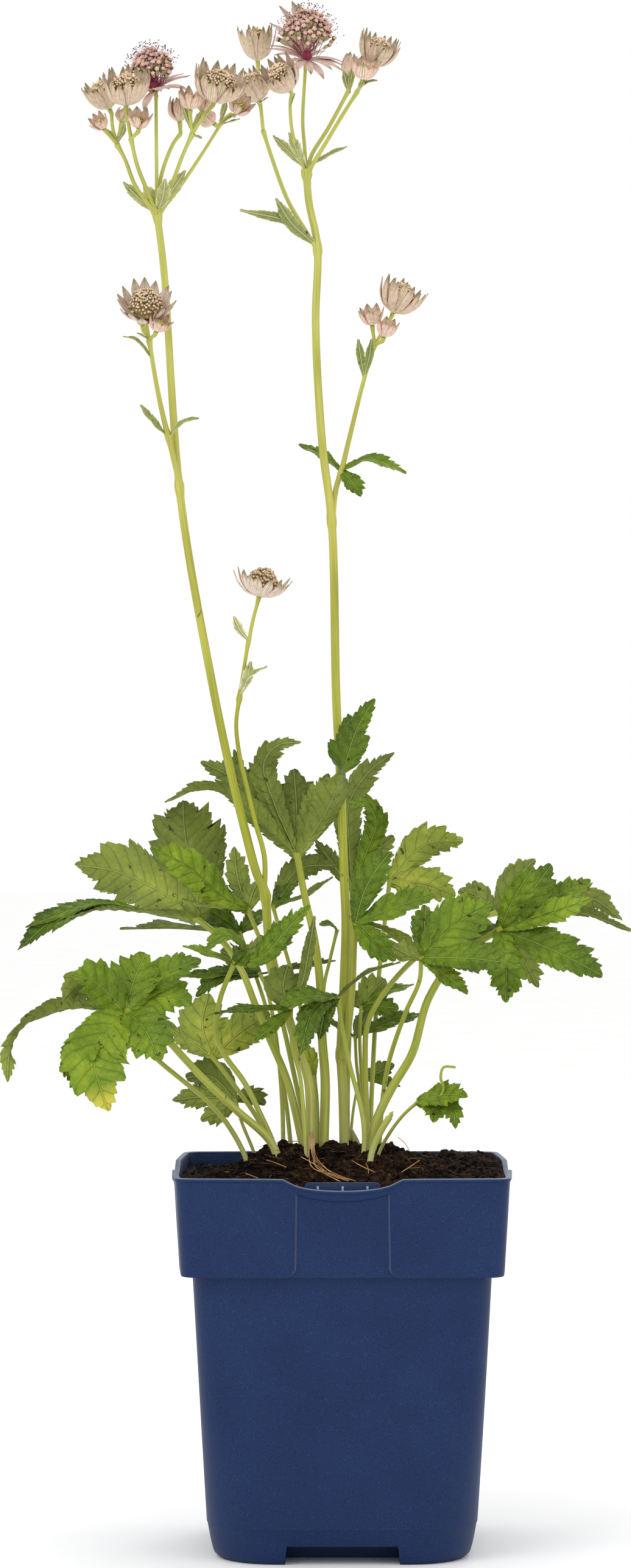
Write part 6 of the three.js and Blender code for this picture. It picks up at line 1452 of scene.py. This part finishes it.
def makePot():
    s = potShape
    head, foot, flare, lip = s["panel"]
    rim, collar, wall, bead = s["rim"], s["collar"], s["wall"], s["bead"]
    notchTop = s["notch"][2]
    grow = lambda z: (z - collar) / (rim - collar)
    wide = lambda z: s["halfCollar"] + (s["halfRim"] - s["halfCollar"]) * grow(z)
    bowAt = lambda z: s["bowCollar"] + (s["bow"] - s["bowCollar"]) * grow(z)
    footEdge = lambda x, deep: notchTop * deep
    inFoot = s["halfBase"] - 2.2 - 1.6
    rings = [
        potRing(s["island"] * 0.4, 1, 0, 0),
        potRing(s["island"] - 0.3, 1.5, 0, 0),
        potRing(s["island"], 1.5, 0, 0.3),
        potRing(s["island"], 1.5, 0, s["channel"] - 0.02),
        potRing(inFoot, 17, 0, s["channel"]),
        potRing(inFoot, 17, 0, 0, lambda x, deep: max(0.3, notchTop * deep - 0.01)),
        potRing(inFoot + 0.3, 17, 0, 0, footEdge),
        potRing(s["halfBase"] - 1.9, 19, 0, 0, footEdge),
        potRing(s["halfBase"] - 1.5, 19, 0, 0.3, lambda x, deep: max(0.25, notchTop * deep)),
        potRing(s["halfBase"], 20, 0, 2, lambda x, deep: max(1.8, (notchTop + 0.1) * deep)),
        potRing(s["halfBase"] + 0.6, 20, 0, s["heel"], lambda x, deep: max(s["heel"], (notchTop + 0.2) * deep)),
        potRing(s["halfBase"] + 1.2, 20, 0, 7),
        potRing(s["halfFoot"] - 0.2, 20, 0.2, s["footTop"]),
        potRing(s["halfFoot"] - 0.16, 20, 0.2, s["footTop"] + 0.1),
        potRing(s["halfFoot"], 20, 0.2, s["footTop"] + 0.25),
    ]
    for k in range(1, 9):
        t = k / 8
        z = s["footTop"] + 0.35 + (collar - s["footTop"] - 0.65) * t
        rings.append(potRing(s["halfFoot"] + (s["halfBody"] - s["halfFoot"]) * t, 8 + 12 * (1 - t) ** 2.2,
            s["bowFoot"] + (s["bowBody"] - s["bowFoot"]) * t, z))
    rings += [
        potRing(s["halfBody"] + 0.05, 8, s["bowBody"], collar - 0.1),
        potRing(s["halfBody"] + 0.35, 8, s["bowBody"], collar),
        potRing(s["halfCollar"] - 0.4, 6, s["bowCollar"], collar, None, s["recess"]),
        potRing(s["halfCollar"] - 0.1, 6, s["bowCollar"], collar + 0.1, None, s["recess"]),
        potRing(s["halfCollar"], 6, s["bowCollar"], collar + 0.4, None, s["recess"]),
    ]
    for z in (collar + 0.9, collar + 1.5, collar + 2.2, collar + 3, collar + 4, collar + 7, collar + 12, collar + 17):
        rings.append(potRing(wide(z), 5.6, bowAt(z), z, None, s["recess"]))
    # the panel ends in an arc below the rim; past its sides these rings run on level
    arc = lambda x: rim - s["dip"] - lip + 1.1 - 2.2 * (1 - min(1, abs(x) / head) ** 2)
    top = lambda shift: lambda x, deep: arc(x) + shift
    for shift, sink in ((-0.5, s["recess"]), (-0.15, s["recess"] * 0.85), (0.1, 0.2), (0.45, 0.0)):
        z = rim - s["dip"] - lip + shift
        rings.append(potRing(wide(z), 5.2, bowAt(z), z, top(shift), sink))
    rimLine = lambda shift: lambda x, deep: rim - rimDrop(x) + shift
    for shift, out in ((-1.25, 0), (-1.05, bead * 0.8), (-0.8, bead), (-0.35, bead), (-0.1, bead * 0.8), (0, bead * 0.35)):
        z = rim + shift
        rings.append(potRing(wide(z) + out, 5, s["bow"], z, rimLine(shift)))
    for inset, shift in ((0.35, 0.03), (wall - 0.35, 0.03), (wall - 0.1, -0.06), (wall, -0.3)):
        rings.append(potRing(s["halfRim"] - inset, 4.4, s["bow"], rim + shift, rimLine(shift)))
    for z in (rim - 5, rim - 9, rim - 16, collar + 3, collar + 0.6, 60, 30, s["floor"]):
        half, corner, bow = cavityHalf(z)
        rings.append(potRing(half, corner, bow, z))
    skin = newSkin()
    addRings(skin, rings)
    for p in skin["points"]:
        along = p.x if abs(p.y) > abs(p.x) else p.y
        beside = abs(along) - panelEdge(p.z)
        isEdge = collar < p.z < rim - s["dip"] - lip + 1.1 and -0.1 < beside < 0.2
        # painted highlight: a pale line along the rim's top, and a fainter one just beside the panel edges
        highlight = 0.22 if p.z > rim - rimDrop(along) - 0.11 else 0.1 if isEdge else 0
        skin["tones"].append((highlight, highlight, highlight, 1))
    addPocket(skin)
    piece = holderOf("fine_pot", meshOf("pot", skin, [potPlastic]))
    settle(piece, "pot", 35)


def addSlab(skin, outline, y0, y1):
    # an outline in X and Z, drawn out from y0 to y1, with a small round on its edge
    middle = sum((Vector((x, 0, z)) for x, z in outline), Vector()) / len(outline)
    rings = []
    for y, shrink in ((y1, 0.25), (y1 - 0.2, 0), (y0 + 0.2, 0), (y0, 0.25)):
        ring = []
        for x, z in outline:
            spot = Vector((x, 0, z))
            ring.append(spot + (middle - spot).normalized() * shrink + Vector((0, y, 0)))
        rings.append(ring)
    addRings(skin, rings)


def addPocket(skin):
    # the small pocket for a plant label, behind the front rim
    p = potShape["pocket"]
    face = -(potShape["halfRim"] + potShape["bow"] - 2.2) + p["gap"]
    half, low, high, plate = p["half"], p["low"], p["high"], p["plate"]
    outline = [(-half, low), (half, low), (half, high - 1.6)]
    outline += [(half - 1.6 + 1.6 * cos(a), high - 1.6 + 1.6 * sin(a)) for a in (0.52, 1.05)]
    outline += [(half - 1.6, high), (1.6 - half, high)]
    outline += [(1.6 - half - 1.6 * cos(a), high - 1.6 + 1.6 * sin(a)) for a in (1.05, 0.52)]
    outline += [(-half, high - 1.6)]
    addSlab(skin, outline, face, face + plate)
    # painted highlight: the plate is paled a touch
    skin["tones"] += [(0.03, 0.03, 0.03, 1)] * (len(skin["points"]) - len(skin["tones"]))
    for x in p["ribs"]:
        w = p["rib"] / 2
        addSlab(skin, [(x - w, low + 2), (x + w, low + 2), (x + w, high - 1.2), (x - w, high - 1.2)], face - 1.2, face + 0.3)
    # painted highlight: the ribs are paled strongly, as light catches them
    skin["tones"] += [(0.55, 0.55, 0.55, 1)] * (len(skin["points"]) - len(skin["tones"]))


makePot()
print("pot made")


# Soil: a mound of peat with crumbs and straw fibres

soilShape = {
    "level": 121.8, "slopeX": 0.03, "slopeY": 0.01,
    # mounds and hollows: place, height and reach along X and Y
    "mounds": ((-4, -3, 11, 22, 25), (-25, -10, 7, 11, 18), (18, -6, 5.5, 12, 14), (40, 30, 2.5, 22, 28),
        (-48, 0, 1.5, 12, 40)),
    "rough": 2.2, "seed": 4,
    "plate": (-49.2, 13.2, 15.5),       # the soil stops at the label pocket: its back, and its half widths
    # crumbs and fibres: count, smallest and largest size, tumble, gap to the wall
    "clods": (330, 1.3, 2.7, 1.0, 7), "crumbs": (3600, 0.35, 1.1, 1.0, 2.5), "fibres": (620, 0.3, 1.1, 0.4, 7),
    "straws": (60, 0.5, 1.1, 0.2, 12),
    # loose roots, as they show from the front: from the crown down to the label pocket, and some by themselves
    "bundle": ((-10, -15, 137), (-9.8, -17, 130.5), (-7.6, -28, 125.6), (-3.7, -38, 123), (1.8, -46.5, 121)),
    "bundled": 7,
    "lone": (((-13.5, -20, 129), (-8, -30, 126), (-1, -42, 121.8)), ((-25, -22, 128), (-18.5, -30, 125.6)),
        ((-32, -34, 123.5), (-28, -38, 122)), ((3.5, -26, 127.8), (11, -36, 124)), ((26, -20, 128), (20, -32, 124)),
        ((8, -30, 127), (9, -34, 123.5)), ((18.8, -8, 135.6), (22.7, -10, 130.9)), ((-21, -4, 134), (-14.5, -4, 134.3))),
    "rootGirth": 0.14,
}


def soilHeight(x, y):
    s = soilShape
    height = s["level"] + s["slopeX"] * x + s["slopeY"] * y
    for cx, cy, tall, wx, wy in s["mounds"]:
        height += tall * exp(-((x - cx) / wx) ** 2 - ((y - cy) / wy) ** 2)
    height += 0.7 * sin(0.61 * x + 1.3) * cos(0.53 * y) + 0.5 * sin(1.31 * x - 0.4 * y)
    return height + s["rough"] * noise.fractal(Vector((x, y, 0)) / 4.5, 0.8, 2.2, 4)


def behindPlate(p):
    back, near, far = soilShape["plate"]
    side = min(1, max(0, (abs(p.x) - near) / (far - near)))
    return Vector((p.x, max(p.y, back - 6 * side), p.z))


def makeCrumbTree():
    # crumbs lie scattered on the soil, half sunk
    tree, given = newTree("scatter_on_soil", {
        "Shape": "Object", "Density": "Float", "Small": "Float", "Large": "Float", "Lie flat": "Float",
        "Within": "Float", "Seed": "Int", "Finish": "Material"})
    level = addNode(tree, "ShaderNodeSeparateXYZ", None, {0: addNode(tree, "GeometryNodeInputNormal").outputs[0]})
    isTop = addNode(tree, "FunctionNodeCompare", {"operation": "GREATER_THAN"}, {0: level.outputs[2], 1: 0.25})
    spot = addNode(tree, "ShaderNodeSeparateXYZ", None, {0: addNode(tree, "GeometryNodeInputPosition").outputs[0]})
    out = sumOf(tree, "MAXIMUM", sumOf(tree, "ABSOLUTE", spot.outputs[0]), sumOf(tree, "ABSOLUTE", spot.outputs[1]))
    isInside = addNode(tree, "FunctionNodeCompare", {"operation": "LESS_THAN"}, {0: out, 1: given["Within"]})
    isChosen = addNode(tree, "FunctionNodeBooleanMath", {"operation": "AND"}, {
        0: isTop.outputs[0], 1: isInside.outputs[0]})
    spots = addNode(tree, "GeometryNodeDistributePointsOnFaces", {"distribute_method": "RANDOM"}, {
        0: given["Geometry"], 1: isChosen.outputs[0], "Density": given["Density"], "Seed": given["Seed"]})
    shape = addNode(tree, "GeometryNodeObjectInfo", None, {0: given["Shape"]}).outputs["Geometry"]
    salted = lambda salt: sumOf(tree, "ADD", given["Seed"], salt)
    tumble = addNode(tree, "FunctionNodeRandomValue", {"data_type": "FLOAT_VECTOR"}, {
        0: (-1, -1, 0), 1: (1, 1, 6.28), "Seed": salted(1.0)}).outputs[0]
    flat = addNode(tree, "ShaderNodeCombineXYZ", None, {
        0: given["Lie flat"], 1: given["Lie flat"], 2: 1.0})
    euler = addNode(tree, "ShaderNodeVectorMath", {"operation": "MULTIPLY"}, {0: tumble, 1: flat.outputs[0]})
    size = addNode(tree, "FunctionNodeRandomValue", {"data_type": "FLOAT"}, {
        2: given["Small"], 3: given["Large"], "Seed": salted(2.0)}).outputs[1]
    copies = addNode(tree, "GeometryNodeInstanceOnPoints", None, {
        0: spots.outputs[0], 2: shape, 5: euler.outputs[0], 6: size})
    endTree(tree, copies.outputs[0], given)
    return tree


def crumbMesh(columns):
    skin = newSkin()
    addLathe(skin, [(0.45, -0.5), (0.95, 0.0), (0.4, 0.7)], columns, (1, 1, 1, 1))
    for i, point in enumerate(skin["points"]):
        skin["points"][i] = point * (0.78 + 0.4 * noise.random())
    return meshOf("crumb", skin, [peat])


def fibreMesh(bend, finish):
    line = [Vector((t * 9 - 4.5, bend * sin(t * 3.1), 0.35 + 0.25 * bend * sin(t * 5.2))) for t in [k / 5 for k in range(6)]]
    return stalkMesh("fibre", [(line, [0.05, 0.09, 0.1, 0.1, 0.08, 0.04])], 1, 0, finish)


def rootMesh():
    s = soilShape
    rng = random.Random(s["seed"])
    lines = []
    for k in range(s["bundled"]):
        spread = (k / (s["bundled"] - 1) - 0.5) * 2
        points = []
        for i, (x, y, z) in enumerate(s["bundle"]):
            apart = 0.3 + 0.7 * i
            points.append(place((x + spread * apart + rng.uniform(-0.7, 0.7), y, z + rng.uniform(-0.2, 0.6))))
        lines.append(points[:rng.choice((4, 5, 5))])
    for path in s["lone"]:
        points = [place(spot) for spot in path]
        bow = Vector((rng.uniform(-0.7, 0.7), 0, rng.uniform(-0.4, 0.4)))
        lines.append([*points[:-1], points[-2].lerp(points[-1], 0.45) + bow, points[-1]])
    for i, points in enumerate(lines):
        points = [Vector((p.x, p.y, max(p.z, soilHeight(p.x, p.y) + 0.4))) for p in points]
        line = smoothLine(points, longest=1.5)
        girth = s["rootGirth"] * rng.uniform(0.75, 1.25)
        lines[i] = (line, [girth] * len(line))
    return stalkMesh("roots", lines, 2, 0, rootFibre)


def makeSoil():
    s = soilShape
    rings = []
    for z in (8.3, 40, 94.6, 97.6, 99.4, 108):
        half, corner, bow = cavityHalf(z)
        ring = potRing(half - 0.25, corner, bow, z)
        rings.append([behindPlate(p) for p in ring] if z > 98 else ring)
    half, corner, bow = cavityHalf(s["level"])
    brim = [behindPlate(p) for p in potRing(half - 0.25, corner, bow, s["level"])]
    for k in range(52):
        share = 1 - k / 52
        rings.append([Vector((p.x * share, p.y * share, soilHeight(p.x * share, p.y * share))) for p in brim])
    skin = newSkin()
    addRings(skin, rings)
    ground = meshOf("soil", skin, [peat])
    scatter = makeCrumbTree()
    parts = [ground, rootMesh()]
    area = 4 * (half * mm) ** 2
    noise.seed_set(s["seed"])
    loose = [(crumbMesh(7), peat, *s["clods"]), (crumbMesh(5), peat, *s["crumbs"]),
        (fibreMesh(1.1, barkFibre), barkFibre, *s["fibres"]), (fibreMesh(0.5, rootFibre), rootFibre, *s["straws"])]
    for seed, (shapeMesh, finish, count, small, large, flat, gap) in enumerate(loose):
        shape = holderOf("scattered", shapeMesh)
        parts.append(grown(holderOf("soil", ground.copy()), scatter, {
            "Shape": shape, "Density": count / area, "Small": small, "Large": large, "Lie flat": flat,
            "Within": (half - gap) * mm, "Seed": s["seed"] + seed, "Finish": finish}))
        bpy.data.objects.remove(shape)
    settle(joined("fine_soil", parts), "soil", 70)


makeSoil()
print("soil made")


# A plain pale floor and soft light

studio = {"floor": "#ffffff", "world": 1.0, "look": "Standard"}


def makeStudio():
    floor = newSkin()
    floor["points"] = [Vector((x, y, 0)) for x, y in ((-6000, -3000), (6000, -3000), (6000, 9000), (-6000, 9000))]
    floor["faces"] = [(0, 1, 2, 3)]
    material, tree, shader = newFinish("studio_floor", {"Roughness": 0.9})
    cloud = grain(tree, 60, 2)
    tree.links.new(ramp(tree, cloud, [(0.3, "#fcfcfb"), (0.7, studio["floor"])]), shader.inputs["Base Color"])
    ground = holderOf("floor", meshOf("floor", floor, [material]))
    world = bpy.data.worlds.new("studio")
    bpy.context.scene.world = world
    world.use_nodes = True
    bpy.context.scene.view_settings.view_transform = studio["look"]
    sky = world.node_tree.nodes["Background"]
    sky.inputs[0].default_value = colourOf("#ffffff")
    sky.inputs[1].default_value = studio["world"]
    for name, where, size, power in (
        ("key", (-900, -1100, 1300), 0.9, 7), ("fill", (1100, -900, 700), 0.9, 2), ("back", (300, 1200, 1300), 0.8, 4),
    ):
        lamp = bpy.data.lights.new(name, "AREA")
        lamp.size = size
        lamp.energy = power
        light = holderOf(name, lamp)
        light.location = Vector(where) * mm
        light.rotation_euler = (Vector((0, 0, 260)) * mm - light.location).to_track_quat("-Z", "Y").to_euler()


makeStudio()
print("studio made")
